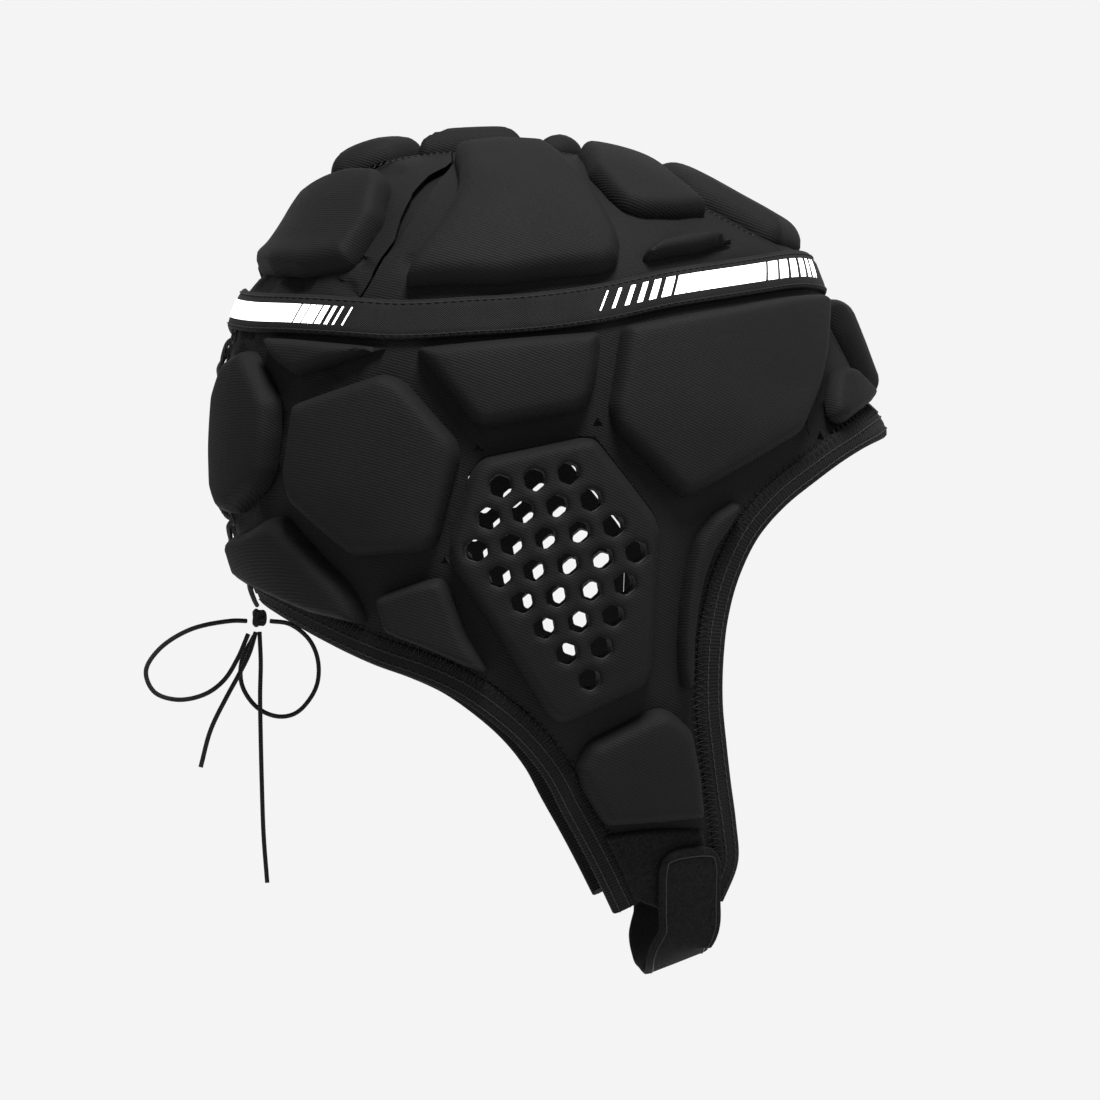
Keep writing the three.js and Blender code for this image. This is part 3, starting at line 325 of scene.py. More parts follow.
def heading(turn, rise):
    t, r = np.radians(turn), np.radians(rise)
    return np.stack([-np.sin(t) * np.cos(r), -np.cos(t) * np.cos(r), np.sin(r)], axis=-1)


def lifted_at(points, height):
    """Points of the form moved out along its normal."""
    direction = unit(points - CENTRE)
    return points + form_normal(direction) * np.asarray(height, float)[..., None]


def lifted(turn, rise, height):
    return lifted_at(form_point(heading(np.asarray(turn, float), np.asarray(rise, float))), height)


print("crown", form_point(np.array([[0.0, 0.0, 1.0]])).round(1))
print("nape", lifted([180.0], [-28.0], [0]).round(1))

# %% [markdown]
# Every new piece rides on the cap's one body and says which solid it stands for.


# %% Helpers for pieces
def piece(name, points, faces, material, slot, replaces=(), smooth=60, uv=None):
    mesh = bpy.data.meshes.new(name)
    mesh.from_pydata((np.asarray(points) * MM).tolist(), [], [list(map(int, f)) for f in faces])
    mesh.validate()
    if uv is not None:
        layer = mesh.uv_layers.new(name="cloth")
        corners = np.zeros(len(mesh.loops), np.int32)
        mesh.loops.foreach_get("vertex_index", corners)
        layer.data.foreach_set("uv", np.asarray(uv, np.float32)[corners].ravel())
    work = bmesh.new()
    work.from_mesh(mesh)
    bmesh.ops.recalc_face_normals(work, faces=work.faces)
    work.to_mesh(mesh)
    work.free()
    mesh.polygons.foreach_set("use_smooth", [True] * len(mesh.polygons))
    mesh.set_sharp_from_angle(angle=math.radians(smooth))
    made = bpy.data.objects.new(name, mesh)
    bpy.context.scene.collection.objects.link(made)
    mesh.materials.append(material)
    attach(made, "root")
    if replaces:
        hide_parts(*replaces)
    return made


def ring_faces(rings, count, closed=True):
    """Quads between rings of equal length."""
    r, i = np.meshgrid(np.arange(rings - 1), np.arange(count if closed else count - 1), indexing="ij")
    j = (i + 1) % count
    corners = [r * count + i, r * count + j, (r + 1) * count + j, (r + 1) * count + i]
    return np.stack(corners, -1).reshape(-1, 4)


def capped(rings, count):
    """The faces of a tube of rings, shut at both ends."""
    ends = [list(range(count))[::-1], list(range((rings - 1) * count, rings * count))]
    return ring_faces(rings, count).tolist() + ends


def shut(up, low, faces):
    """A closed body of two sheets with the same faces, with walls at every rim."""
    n = len(up)
    edges = {}
    for face in faces.tolist():
        for edge in zip(face, face[1:] + face[:1]):
            edges[edge] = True
    walls = [[b, a, a + n, b + n] for a, b in edges if (b, a) not in edges]
    return np.concatenate([up, low]), faces.tolist() + (faces[:, ::-1] + n).tolist() + walls


def run_along(points):
    """Each point's distance along a line of points."""
    return np.concatenate([[0], np.cumsum(np.linalg.norm(np.diff(points, axis=0), axis=1))])


def tube(points, radius, sides=8, flat=1.0):
    """A round tube along points, with a twist-free frame; flat below 1 presses it."""
    points = np.asarray(points, float)
    along = unit(np.gradient(points, axis=0))
    normal = np.cross(along[0], [0.3, 0.2, 1.0])
    normal /= np.linalg.norm(normal)
    rings = []
    angles = np.linspace(0, 2 * np.pi, sides, endpoint=False)
    for p, t in zip(points, along):
        normal = normal - t * (normal @ t)
        normal /= np.linalg.norm(normal)
        other = np.cross(t, normal)
        rings.append(p + radius * (np.cos(angles)[:, None] * normal + flat * np.sin(angles)[:, None] * other))
    return np.concatenate(rings), capped(len(points), sides)


def through(points, spacing=None, count=None, closed=False):
    """Evenly spaced points of a smooth curve through the given ones."""
    p = np.asarray(points, float)
    if closed:
        p = np.concatenate([p[-2:], p, p[:3]])
    else:
        p = np.concatenate([[2 * p[0] - p[1]], p, [2 * p[-1] - p[-2]]])
    out = []
    for a, b, c, d in zip(p, p[1:], p[2:], p[3:]):
        t0 = 0
        t1 = t0 + max(np.linalg.norm(b - a), 1e-9) ** 0.5
        t2 = t1 + max(np.linalg.norm(c - b), 1e-9) ** 0.5
        t3 = t2 + max(np.linalg.norm(d - c), 1e-9) ** 0.5
        t = np.linspace(t1, t2, 24, endpoint=False)[:, None]
        a1 = (t1 - t) / (t1 - t0) * a + (t - t0) / (t1 - t0) * b
        a2 = (t2 - t) / (t2 - t1) * b + (t - t1) / (t2 - t1) * c
        a3 = (t3 - t) / (t3 - t2) * c + (t - t2) / (t3 - t2) * d
        b1 = (t2 - t) / (t2 - t0) * a1 + (t - t0) / (t2 - t0) * a2
        b2 = (t3 - t) / (t3 - t1) * a2 + (t - t1) / (t3 - t1) * a3
        out.append((t2 - t) / (t2 - t1) * b1 + (t - t1) / (t2 - t1) * b2)
    line = np.concatenate(out)
    if closed:
        line = line[24:-24]
        line = np.concatenate([line, line[:1]])
    else:
        line = np.concatenate([line, p[-2:-1]])
    run = run_along(line)
    steps = count or max(2, int(round(run[-1] / spacing)))
    want = np.linspace(0, run[-1], steps + 1)
    even = np.stack([np.interp(want, run, line[:, k]) for k in range(3)], -1)
    return even[:-1] if closed else even


def merged(parts):
    """Several sets of points and faces as one."""
    points, faces, first = [], [], 0
    for p, f in parts:
        points.append(p)
        faces += [[i + first for i in face] for face in f]
        first += len(p)
    return np.concatenate(points), faces


def length_of(points):
    return float(np.linalg.norm(np.diff(points, axis=0), axis=1).sum())


# %% [markdown]
# The lace is a round braided cord of one and a half millimetres. Its bow hangs behind the nape:
# two loops that come back to the knot, and two free tails. Each is a curve of its real length.

# %% The free lace
LACE_THICK = 1.5
KNOT = np.array([0.0, 96.2, -149.2])
LACE_ROUTES = {
    "lace_bow_back": [[-1.2, 99.9, -150.2], [-3, 105, -150.2], [-5, 118, -153], [-6, 128, -159.4],
                      [-6, 132.2, -166.4], [-6, 129.6, -173], [-5.4, 122.4, -175.6], [-4.6, 113.6, -174],
                      [-3.8, 107.4, -169.6], [-3, 102.8, -162.4], [-2, 99.4, -154.4]],
    "lace_bow_front": [[1.2, 92.4, -150.2], [3, 86, -151.2], [5, 79.6, -156.4], [6, 76.8, -163.6],
                       [6.4, 77.6, -172], [6, 83.6, -179.8], [5.2, 89.6, -181.2], [4.4, 96.4, -178.4],
                       [3.6, 101.4, -171.2], [3, 101.6, -163.4], [2.2, 97.6, -155]],
    "lace_tail_short": [[-0.8, 97, -153.8], [-2, 99, -160.6], [-3, 102.4, -167.6], [-4, 106.2, -174.6],
                        [-4.6, 111.4, -185.4], [-5, 114.6, -197.4]],
    "lace_tail_long": [[0.6, 95.8, -153.7], [1.6, 95.4, -163.6], [2.2, 95.6, -174], [2.6, 95.4, -187.2],
                       [2.8, 95, -203.2], [2.6, 94.4, -219.6], [2.2, 93.2, -235]],
}
for name, route in LACE_ROUTES.items():
    line = through(route, spacing=1.0)
    points, faces = tube(line, LACE_THICK / 2, sides=10)
    lace = piece(name + "_cord", points, faces, cord, "cord", [name])
    print(name, round(length_of(line)), "mm")

# %% The knot: the lace turns round itself twice, over its own core
turns = np.linspace(0, 2 * np.pi, 150)
winding = np.stack([1.35 * (np.sin(turns) + 1.1 * np.sin(2 * turns)) / 1.35,
                    1.25 * (np.cos(turns) - 1.1 * np.cos(2 * turns)),
                    1.7 * -np.sin(3 * turns)], -1)
KNOT_REACH = 2.6
first_turns = tube(KNOT + winding * [0.75, 0.78, 1.15], LACE_THICK / 2, sides=10)
second_turns = tube(KNOT + winding[:, [2, 1, 0]] * [0.6, 0.6, 1.25], LACE_THICK / 2, sides=10)
core = tube(KNOT + np.linspace([0, 0, KNOT_REACH], [0, 0, -KNOT_REACH], 9), LACE_THICK, sides=12)
piece("lace_knot_cord", *merged([first_turns, second_turns, core]), cord, "cord", ["lace_knot"])

# %% [markdown]
# The shell is one thin laminated wall, cut into a few panels. The solid panels are flat facets,
# so each is divided finely here and every point is put at its exact height over the head.


# %% The shell's panels
def refined(name, longest, low, high, material, slot):
    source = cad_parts[name]
    work = bmesh.new()
    work.from_mesh(source.data)
    bmesh.ops.remove_doubles(work, verts=work.verts, dist=1e-6)
    for _ in range(6):
        long_edges = [e for e in work.edges if e.calc_length() > longest * MM]
        if not long_edges:
            break
        bmesh.ops.subdivide_edges(work, edges=long_edges, cuts=1)
        bmesh.ops.triangulate(work, faces=[f for f in work.faces if len(f.verts) > 3])
    work.verts.index_update()
    points = np.array([v.co for v in work.verts]) / MM
    faces = [[v.index for v in f.verts] for f in work.faces]
    work.free()
    direction = unit(points - CENTRE)
    foot = form_point(direction)
    normal = form_normal(direction)
    height = np.einsum("ij,ij->i", points - foot, normal)
    middle = (low + high) / 2
    target = np.where(height < middle - 0.35, low, np.where(height > middle + 0.3, high, height))
    points = foot + normal * target[:, None]
    made = piece(name + "_cloth", points, faces, material, slot, [name], smooth=45)
    print(name, len(faces), "triangles")
    return made


for name in ("side_panel_right", "side_panel_left", "front_panel", "crown_strip", "rear_top_panel"):
    refined(name, 4.0, 0.0, SHELL, jersey, "jersey")
refined("back_lace_panel", 4.0, 0.3, SHELL, elastic, "knit")

# %% [markdown]
# A pad is a block of closed-cell foam between two layers of cloth, pressed hot so that its rim
# is steep and round and its top stays almost flat. Each pad is drawn in the plane that touches
# the head under it, filled with fine triangles, and raised by its distance from the rim.

# %% Helpers for flat outlines
PAD_RISE = 7.4
SMALL_PAD_RISE = 5.6
PAD_FOOT = SHELL + 0.05
RIM_LINES = (0.25, 0.7, 1.3, 2.1, 3.1, 4.2)  # millimetres inside a pad's rim where points are set
NET_PITCH = 2.3
NET_FROM_RIM = 5.4
NET_FROM_HOLE = 2.0


def seat_of(corners):
    turn, rise = np.array(corners, float).T
    points = form_point(heading(turn, rise))
    direction = unit(points.mean(axis=0) - CENTRE)
    origin = form_point(direction[None])[0]
    out = form_normal(direction[None])[0]
    side = np.cross([0, 0, 1], out)
    if np.linalg.norm(side) < 0.2:
        side = np.array([1, 0, 0]) - out * out[0]
    side = side / np.linalg.norm(side)
    up = np.cross(out, side)

    def flat(p):
        return np.stack([(p - origin) @ side, (p - origin) @ up], -1)

    def raised(v, height):
        q = origin + v[:, :1] * side + v[:, 1:] * up
        foot = crossing(q - out * HEAD_WIDTH / 3, q + out * HEAD_WIDTH / 4)
        return lifted_at(foot, np.broadcast_to(height, len(v)))

    return flat(points), raised, flat


def rounded(corners, cut=2.1):
    """The outline with round corners, counterclockwise, with a point about every 1.5 mm."""
    corners = np.asarray(corners, float)
    nxt = np.roll(corners, -1, axis=0)
    if (corners[:, 0] * nxt[:, 1] - corners[:, 1] * nxt[:, 0]).sum() < 0:
        corners = corners[::-1]
    line = []
    for i, corner in enumerate(corners):
        a = corners[i - 1] - corner
        b = corners[(i + 1) % len(corners)] - corner
        room = min(np.linalg.norm(a), np.linalg.norm(b))
        reach = min(cut, 0.45 * room)
        start = corner + a / np.linalg.norm(a) * reach
        end = corner + b / np.linalg.norm(b) * reach
        t = np.linspace(0, 1, 7)[:, None]
        line.append((1 - t) ** 2 * start + 2 * t * (1 - t) * corner + t * t * end)
    line = np.concatenate(line)
    line = np.concatenate([line, line[:1]])
    run = run_along(line)
    steps = max(12, int(run[-1] / 1.5))
    want = np.linspace(0, run[-1], steps, endpoint=False)
    return np.stack([np.interp(want, run, line[:, k]) for k in range(2)], -1)


def distance_to(points, outline):
    """Each point's distance from a closed outline."""
    a, b = outline, np.roll(outline, -1, axis=0)
    best = np.full(len(points), 1e9)
    for start, end in zip(a, b):
        step = end - start
        t = np.clip((points - start) @ step / max(step @ step, 1e-12), 0, 1)
        best = np.minimum(best, np.linalg.norm(points - start - t[:, None] * step, axis=1))
    return best


def inside_of(points, outline):
    x, y = points.T
    odd = np.zeros(len(points), bool)
    for (ax, ay), (bx, by) in zip(outline, np.roll(outline, -1, axis=0)):
        spans = (ay > y) != (by > y)
        if ay != by:
            odd ^= spans & (x < ax + (y - ay) * (bx - ax) / (by - ay))
    return odd


def inner_lines(outline, distances, outward=False):
    """Points at set distances inside an outline, or outside it, without those that crowd."""
    tangent = np.roll(outline, -1, axis=0) - np.roll(outline, 1, axis=0)
    normal = unit(np.stack([-tangent[:, 1], tangent[:, 0]], -1)) * (-1 if outward else 1)
    rows = []
    for d in distances:
        row = outline + normal * d
        rows.append(row[distance_to(row, outline) > 0.93 * d])
    return np.concatenate(rows)


def thinned(points, room):
    """The points, without any that lies closer than room to an earlier one."""
    kept, cells = [], {}
    for p in points:
        cell = tuple(np.floor(p / room).astype(int))
        near = [q for i in (-1, 0, 1) for j in (-1, 0, 1) for q in cells.get((cell[0] + i, cell[1] + j), ())]
        if all((p[0] - q[0]) ** 2 + (p[1] - q[1]) ** 2 > room * room for q in near):
            kept.append(p)
            cells.setdefault(cell, []).append(p)
    return np.array(kept).reshape(-1, 2)


def filled(outline, holes, extra):
    """A fine flat triangulation of an outline with holes; the rims' points come first."""
    low, high = outline.min(axis=0), outline.max(axis=0)
    xs = np.arange(low[0], high[0], NET_PITCH)
    ys = np.arange(low[1], high[1], NET_PITCH * 0.866)
    net = np.array([(x + (j % 2) * NET_PITCH / 2, y) for j, y in enumerate(ys) for x in xs])
    net = net[inside_of(net, outline)]
    net = net[distance_to(net, outline) > NET_FROM_RIM]
    for hole in holes:
        net = net[~inside_of(net, hole)]
        net = net[distance_to(net, hole) > NET_FROM_HOLE]
    free = thinned(np.concatenate([extra, net]), 0.5)
    rims = [outline, *holes]
    points = np.concatenate([*rims, free])
    edges, faces, first = [], [], 0
    for rim in rims:
        n = len(rim)
        edges += [(first + i, first + (i + 1) % n) for i in range(n)]
        first += n
    found = delaunay_2d_cdt([Vector(p) for p in points], edges, [list(range(len(outline)))], 1, 1e-5, True)
    if len(found[0]) != len(points):
        print("outline gained", len(found[0]) - len(points), "points")
    flat = np.array([tuple(v) for v in found[0]])
    triangles = np.array(found[2])
    middle = flat[triangles].mean(axis=1)
    keep = inside_of(middle, outline)
    for hole in holes:
        keep &= ~inside_of(middle, hole)
    return flat, triangles[keep]


def slab(flat, triangles, raised, top, bottom):
    """A closed body over a flat triangulation, from a bottom to a top height."""
    return shut(raised(flat, top), raised(flat, bottom), triangles)


def round_rim(distance, width, power=1.9):
    share = np.clip(distance / width, 0, 1)
    return (1 - (1 - share) ** power) ** (1 / power)


# %% The pads' outlines, as corners in turn and rise over the head
SIDE_PADS = {
    "temple_pad": [
        [77.6, 24.8], [50, 27.8], [23, 29.3], [21, 27], [28.5, 17], [34.6, 8], [39.8, 1.7], [53, -6],
        [61.5, -11.2], [64.5, -12.2], [67, -10.6], [80, 2.5], [81, 7.5],
    ],
    "side_mid_pad": [
        [122.6, 18], [102, 21.8], [82.4, 23.8], [83.6, 15], [85.2, 8.6], [88, 6.2], [108.5, 2.4],
        [111, 3.8],
    ],
    "rear_side_pad": [
        [145, 6.8], [128, 12.9], [124, 11.6], [113.6, 0], [113, -3.3], [117.6, -20], [120, -22],
        [134.5, -21.2], [146, -10.2], [147, -5.6],
    ],
    "rear_sliver_pad": [
        [154.6, 18.2], [140, 17.9], [127.4, 17.6], [136, 14.4], [145, 11.6], [150, 13.8],
    ],
    "rear_edge_pad": [
        [157, 16.2], [163, 14.4], [167, 9], [168, 0], [168, -7], [165, -10.6], [160.6, -11.4],
        [152.4, -8], [150, -5], [148.8, 1], [148.8, 7], [152.2, 11.6],
    ],
    "nape_pad": [
        [167.6, -14.6], [159, -14], [151.6, -12.4], [148, -13], [137, -25.2], [135, -28.4],
        [133.4, -33], [145, -30], [153.5, -26.6], [162, -23.6], [168, -21.6],
    ],
    "lower_rear_pad": [
        [130.6, -28.6], [121.6, -27], [117.4, -26.8], [115.8, -28.9], [112.8, -37], [107.8, -43.4],
        [113.6, -41.4], [120.4, -38.4], [129, -34.8],
    ],
    "jaw_pad": [
        [88, -56], [84.8, -53.4], [69.8, -48.9], [66.6, -48.3], [63.6, -48.7], [59, -50.2],
        [55.4, -54.8], [52.4, -59.2], [79.6, -62], [86, -58.6],
    ],
    "brow_corner_pad": [
        [24, 14.6], [19.5, 14.2], [12.4, 9.8], [12, 7.6], [22, 5.6], [29, 3.4], [31.8, 4.4], [31, 8],
        [27, 13.4],
    ],
    "side_top_pad": [
        [136, 62.2], [122, 69], [99, 70.4], [90.6, 65.6], [79.8, 50.6], [76, 41.7], [77.6, 36.8],
        [82, 35.4], [105.3, 32.2], [126, 29], [125.6, 32.7], [121.6, 42.5], [121, 49.5], [124.6, 54.8],
    ],
    "front_slope_pad": [
        [76, 76], [60, 77.6], [34, 76.6], [20, 73.6], [29, 70], [42.6, 59], [43.8, 48.6], [56.6, 47.8],
        [67, 48.2], [72.4, 49.8], [75.8, 53.5], [79.8, 61],
    ],
    "brow_small_pad": [
        [71, 37.6], [70, 39.8], [66.5, 41.5], [60, 42.1], [52, 42], [43, 40.3], [56, 38.8],
    ],
    "rear_top_pad": [
        [172, 46.6], [155, 51], [145.5, 51.4], [140.6, 48.6], [136.4, 41.5], [138, 31], [148, 28.6],
        [158.5, 28.6], [172, 29.8],
    ],
}
MIDLINE_PADS = {
    "crown_pad_1": [
        [180, 66.4], [163.4, 59.4], [166, 54], [169, 49.6],
    ],
    "crown_pad_2": [
        [122, 78], [146, 71.6], [160.6, 62.2], [180, 69],
    ],
    "crown_pad_3": [
        [56, 81.2], [84, 79.6], [111, 79.2],
    ],
    "front_crown_pad": [
        [9, 38.4], [26.5, 39.6], [29.5, 46], [36, 54.5], [37.4, 60.4], [17, 70.4],
    ],
    "forehead_pad": [
        [5.6, 8.8], [6, 11.6], [14.6, 20.4], [18.6, 28.2], [10, 29.2],
    ],
}
LOW_PADS = {"rear_sliver_pad", "brow_corner_pad", "front_slope_pad", "brow_small_pad", "crown_pad_3"}
STEEP_PADS = {"brow_small_pad", "lower_rear_pad"}
MIDLINE_CUT = 4
MIDLINE_SLOPE = 7.5
SIDES = (("right", 1), ("left", -1))
# Columns: turn, rise, width in millimetres of the ridge pad beside the face binding
CHEEK_RIDGE = [
    (52.6, -12.6, 3), (56.2, -16.4, 7), (59.4, -21, 7.4), (61.2, -27, 6.4), (62, -33, 5.8),
    (62.2, -38.6, 5.2), (61.6, -43, 4.8), (60.9, -45.4, 3),
]


def whole_outline(corners):
    """A midline pad's right half and its mirror image."""
    right = [c for c in corners if c[0] != 180]
    left = [[360 - turn, rise] for turn, rise in reversed(right)]
    front = [corners[0]] if corners[0][0] == 180 else []
    back = [corners[-1]] if corners[-1][0] == 180 else []
    return front + right + back + left


def raised_pad(outline, raised, rise, width):
    flat, triangles = filled(outline, [], inner_lines(outline, RIM_LINES))
    distance = distance_to(flat, outline)
    top = PAD_FOOT + (SHELL + rise - PAD_FOOT) * round_rim(distance, width)
    top = top + 0.65 * (1 - np.exp(-distance / 10))
    return slab(flat, triangles, raised, top, np.full(len(flat), PAD_FOOT - 0.03))


def pad_pair(name, points, faces):
    made = [piece(f"{name}_{side}_foam", points * [mirror, 1, 1], faces, jersey, "jersey", [f"{name}_{side}"])
            for side, mirror in SIDES]
    return made


def pad_width(name):
    """How far in from its rim a pad rises."""
    if name in STEEP_PADS:
        return 2.3
    return 3.4 if name in LOW_PADS else 4.2


# %% The foam pads
for name, corners in SIDE_PADS.items():
    outline, raised, _ = seat_of(corners)
    rise = SMALL_PAD_RISE if name in LOW_PADS else PAD_RISE
    pad_pair(name, *raised_pad(rounded(outline), raised, rise, pad_width(name)))

for name, corners in MIDLINE_PADS.items():
    outline, raised, _ = seat_of(whole_outline(corners))
    rise = SMALL_PAD_RISE if name in LOW_PADS else PAD_RISE
    points, faces = raised_pad(rounded(outline, cut=MIDLINE_CUT), raised, rise, MIDLINE_SLOPE)
    made = piece(name + "_foam", points, faces, jersey, "jersey", [name])

ridge = np.array(CHEEK_RIDGE, float)
middle_line, raised, _ = seat_of(ridge[:, :2])
ridge_along = unit(np.gradient(middle_line, axis=0))
ridge_across = np.stack([-ridge_along[:, 1], ridge_along[:, 0]], -1) * ridge[:, 2:] / 2
outline = rounded(np.concatenate([middle_line + ridge_across, (middle_line - ridge_across)[::-1]]), cut=2.2)
pad_pair("cheek_edge_pad", *raised_pad(outline, raised, SMALL_PAD_RISE, 2.2))
print("pads done")

# %% [markdown]
# The ear pad lets sound through: a lattice of six-sided holes is punched right through the foam,
# and the cloth is pressed down round each hole's rim.

# %% The ear pads
EAR_PAD = [
    [109, -4], [87.4, 0.6], [84, 0.4], [71, -15.6], [69.6, -18.5], [69.8, -31.5], [70, -43.8],
    [71.4, -45.8], [88, -50.6], [92, -51], [94.8, -50], [115.2, -25], [115.6, -21], [111.4, -7.3],
]
# Columns: first place and count of each row of holes
HOLE_ROWS = [(0, 3), (0, 4), (0, 5), (1, 5), (2, 4), (3, 3), (4, 2), (5, 1)]
HOLE_FLATS = 6.3
HOLE_PITCH = 10.3
HOLE_TILT = math.radians(10.7)
RIM_ROUND = 1.3

outline, raised, flat_of = seat_of(EAR_PAD)
outline = rounded(outline, cut=3.0)
middle = flat_of(form_point(heading(np.array([90.4]), np.array([-26.4]))))[0]
along = np.array([math.cos(HOLE_TILT), math.sin(HOLE_TILT)]) * HOLE_PITCH
down_angle = HOLE_TILT - math.radians(120)
down = np.array([math.cos(down_angle), math.sin(down_angle)]) * HOLE_PITCH
corner_reach = HOLE_FLATS / math.sqrt(3)
holes = []
for row, (start, count) in enumerate(HOLE_ROWS):
    for k in range(count):
        at = middle + along * (start + k - 3) + down * (row - 3)
        angles = HOLE_TILT - np.radians(30 + 60 * np.arange(6))
        six = at + corner_reach * np.stack([np.cos(angles), np.sin(angles)], -1)
        t = np.array([0.0, 0.33, 0.66])[:, None]
        nxt = np.roll(six, -1, axis=0)
        rim = np.concatenate([a + (b - a) * (0.14 + 0.72 * t / 0.66) for a, b in zip(six, nxt)])
        holes.append(rim[::-1])
rings = [inner_lines(outline, RIM_LINES)]
rings += [inner_lines(hole, (0.25, 0.7, 1.35), outward=True) for hole in holes]
extra = np.concatenate(rings)
extra = extra[inside_of(extra, outline)]
flat, triangles = filled(outline, holes, extra)
edge = distance_to(flat, outline)
top = SHELL + PAD_RISE * round_rim(edge, 3.6) + 0.4 * (1 - np.exp(-edge / 10))
rim = np.min([distance_to(flat, hole) for hole in holes], axis=0)
top = top - RIM_ROUND * (1 - round_rim(rim, RIM_ROUND, 2.0))
pads = pad_pair("ear_pad", *slab(flat, triangles, raised, top, np.full(len(flat), 0.3)))
for foam in pads:
    foam.data.materials.append(foam_edge)
    for face in foam.data.polygons:
        face.material_index = 1 if len(face.vertices) == 4 else 0
print("ear pads:", len(triangles), "triangles a face,", len(holes), "holes")

# %% [markdown]
# The raw edges are bound with a ribbed elastic tape, folded over the wall and sewn through.
# An overlock thread runs in a zigzag along its inner edge, with straight seams beside it.


# %% Helpers for edge trim
def on_edge(line, run, across, height):
    """Points at a run along an edge line, a distance inwards and a height over the head."""
    lengths = run_along(line)
    tangent = unit(np.gradient(line, axis=0))
    p = np.stack([np.interp(run, lengths, line[:, k]) for k in range(3)], -1)
    along = unit(np.stack([np.interp(run, lengths, tangent[:, k]) for k in range(3)], -1))
    out = form_normal(unit(p - CENTRE))
    inward = unit(np.cross(along, out))
    q = p + inward * np.asarray(across)[..., None]
    foot = crossing(q - out * HEAD_WIDTH / 4, q + out * HEAD_WIDTH / 4)
    return lifted_at(foot, np.broadcast_to(height, len(p)))


def strip(line, section, step=1.6):
    """A closed strip along an edge line, with its own unrolled coordinates in millimetres."""
    section = np.array(section, float)
    total = length_of(line)
    run = np.linspace(0, total, int(total / step) + 1)
    count = len(section)
    across, height = np.tile(section, (len(run), 1)).T
    rings = on_edge(line, np.repeat(run, count), across, height)
    faces = capped(len(run), count)
    girth = run_along(section)
    uv = np.stack([np.repeat(run, count), np.tile(girth, len(run))], -1)
    return rings, faces, uv


def zigzag(line, near, far, pitch, near_height, far_height):
    total = length_of(line)
    run = np.arange(0, total, pitch / 2)
    odd = np.arange(len(run)) % 2
    points = on_edge(line, run, np.where(odd, far, near), np.where(odd, far_height, near_height))
    return tube(points, 0.2, sides=5)


def running_stitch(line, across, height, pitch=2.6):
    total = length_of(line)
    run = np.arange(0, total, pitch / 5)
    wave = np.cos(2 * np.pi * run / pitch)
    points = on_edge(line, run, np.full(len(run), across), height + 0.2 * wave)
    return tube(points, 0.2, sides=5, flat=0.8)


# %% The bindings
FACE_EDGE = [
    (0, 2.6), (12, 1.6), (20, 0.1), (27, -2.4), (35, -7), (43.5, -13.8), (48.6, -21), (51.8, -30),
    (52.6, -38), (51.8, -45), (48, -52.2), (43, -57.9), (39, -61.2), (39.3, -65.7),
]
NECK_EDGE = [
    (74, -69.5), (78, -67.8), (84.7, -64.6), (90.5, -61.4), (96.7, -56.9), (106.2, -51), (119, -44.3),
    (136, -38.3), (149, -33.4), (160, -29.8), (169, -27.7),
]
BINDING = [
    (0, 1.25), (0.15, 2.2), (0.6, 2.95), (1.5, 3.3), (4, 3.42), (7.8, 3.3), (8.9, 3.12), (9.4, 2.75),
    (9.4, 0.1), (8.8, -0.55), (7, -0.75), (1.5, -0.75), (0.6, -0.4), (0.15, 0.3),
]


def edge_line(rows, count):
    turn, rise = np.array(rows, float).T
    coarse = through(lifted(turn, rise, np.zeros(len(turn))), count=count)
    return form_point(unit(coarse - CENTRE))


right_line = edge_line(FACE_EDGE, 16)
right_line[0, 0] = 0
left_line = (right_line[1:] * [-1, 1, 1])[::-1]
face_line = through(np.concatenate([left_line, right_line]), spacing=2.0)
points, faces, uv = strip(face_line, BINDING)
piece("face_binding_tape", points, faces, knit, "knit", ["face_binding"], uv=uv)
neck_line = through(edge_line(NECK_EDGE, 14), spacing=2.0)
points, faces, uv = strip(neck_line, BINDING)
for side, mirror in SIDES:
    piece(f"neck_binding_{side}_tape", points * [mirror, 1, 1], faces, knit, "knit", [f"neck_binding_{side}"],
          uv=uv)


def edge_seams(line):
    """An overlock zigzag over the tape's inner edge, and two straight seams through it."""
    return merged([zigzag(line, 7.2, 10.6, 2.2, 3.5, 2.65), running_stitch(line, 2.2, 3.42),
                   running_stitch(line, 5.6, 3.44)])


piece("face_seams", *edge_seams(face_line), thread, "knit")
neck_seams = edge_seams(neck_line)
for side, mirror in SIDES:
    piece(f"neck_seams_{side}", neck_seams[0] * [mirror, 1, 1], neck_seams[1], thread, "knit")
print("face edge", round(length_of(face_line)), "mm, neck edge", round(length_of(neck_line)), "mm")

# %% [markdown]
# A woven band is sewn round the cap between the upper and the lower pads. It carries a plain
# reflective stripe that breaks up into slanted bars, printed on top of the weave.

# %% The headband
BAND_LOW = SHELL + 0.3
BAND_HIGH = SHELL + 0.3 + 0.55 + 1.2
band_rows = np.array([
    (0, 33.9), (24, 34.2), (46, 33.3), (64, 32.2), (82, 29.6), (109, 25.7), (130, 22.8), (155, 22.3),
    (180, 24.2),
])
band_curve = quiet_curve(band_rows[:, 0] / 180, band_rows[:, 1])


def band_rise(turn):
    turn = np.mod(turn, 360)
    return band_curve(np.minimum(turn, 360 - turn) / 180)


def on_band(turn, across, height):
    """A place on the band: a turn, a distance up from its middle line, and a height."""
    turn = np.asarray(turn, float)
    rise = band_rise(turn)
    here = form_point(heading(turn, rise))
    degree = np.linalg.norm(form_point(heading(turn, rise + 1)) - here, axis=-1)
    return lifted(turn, rise + across / degree, np.broadcast_to(height, turn.shape))


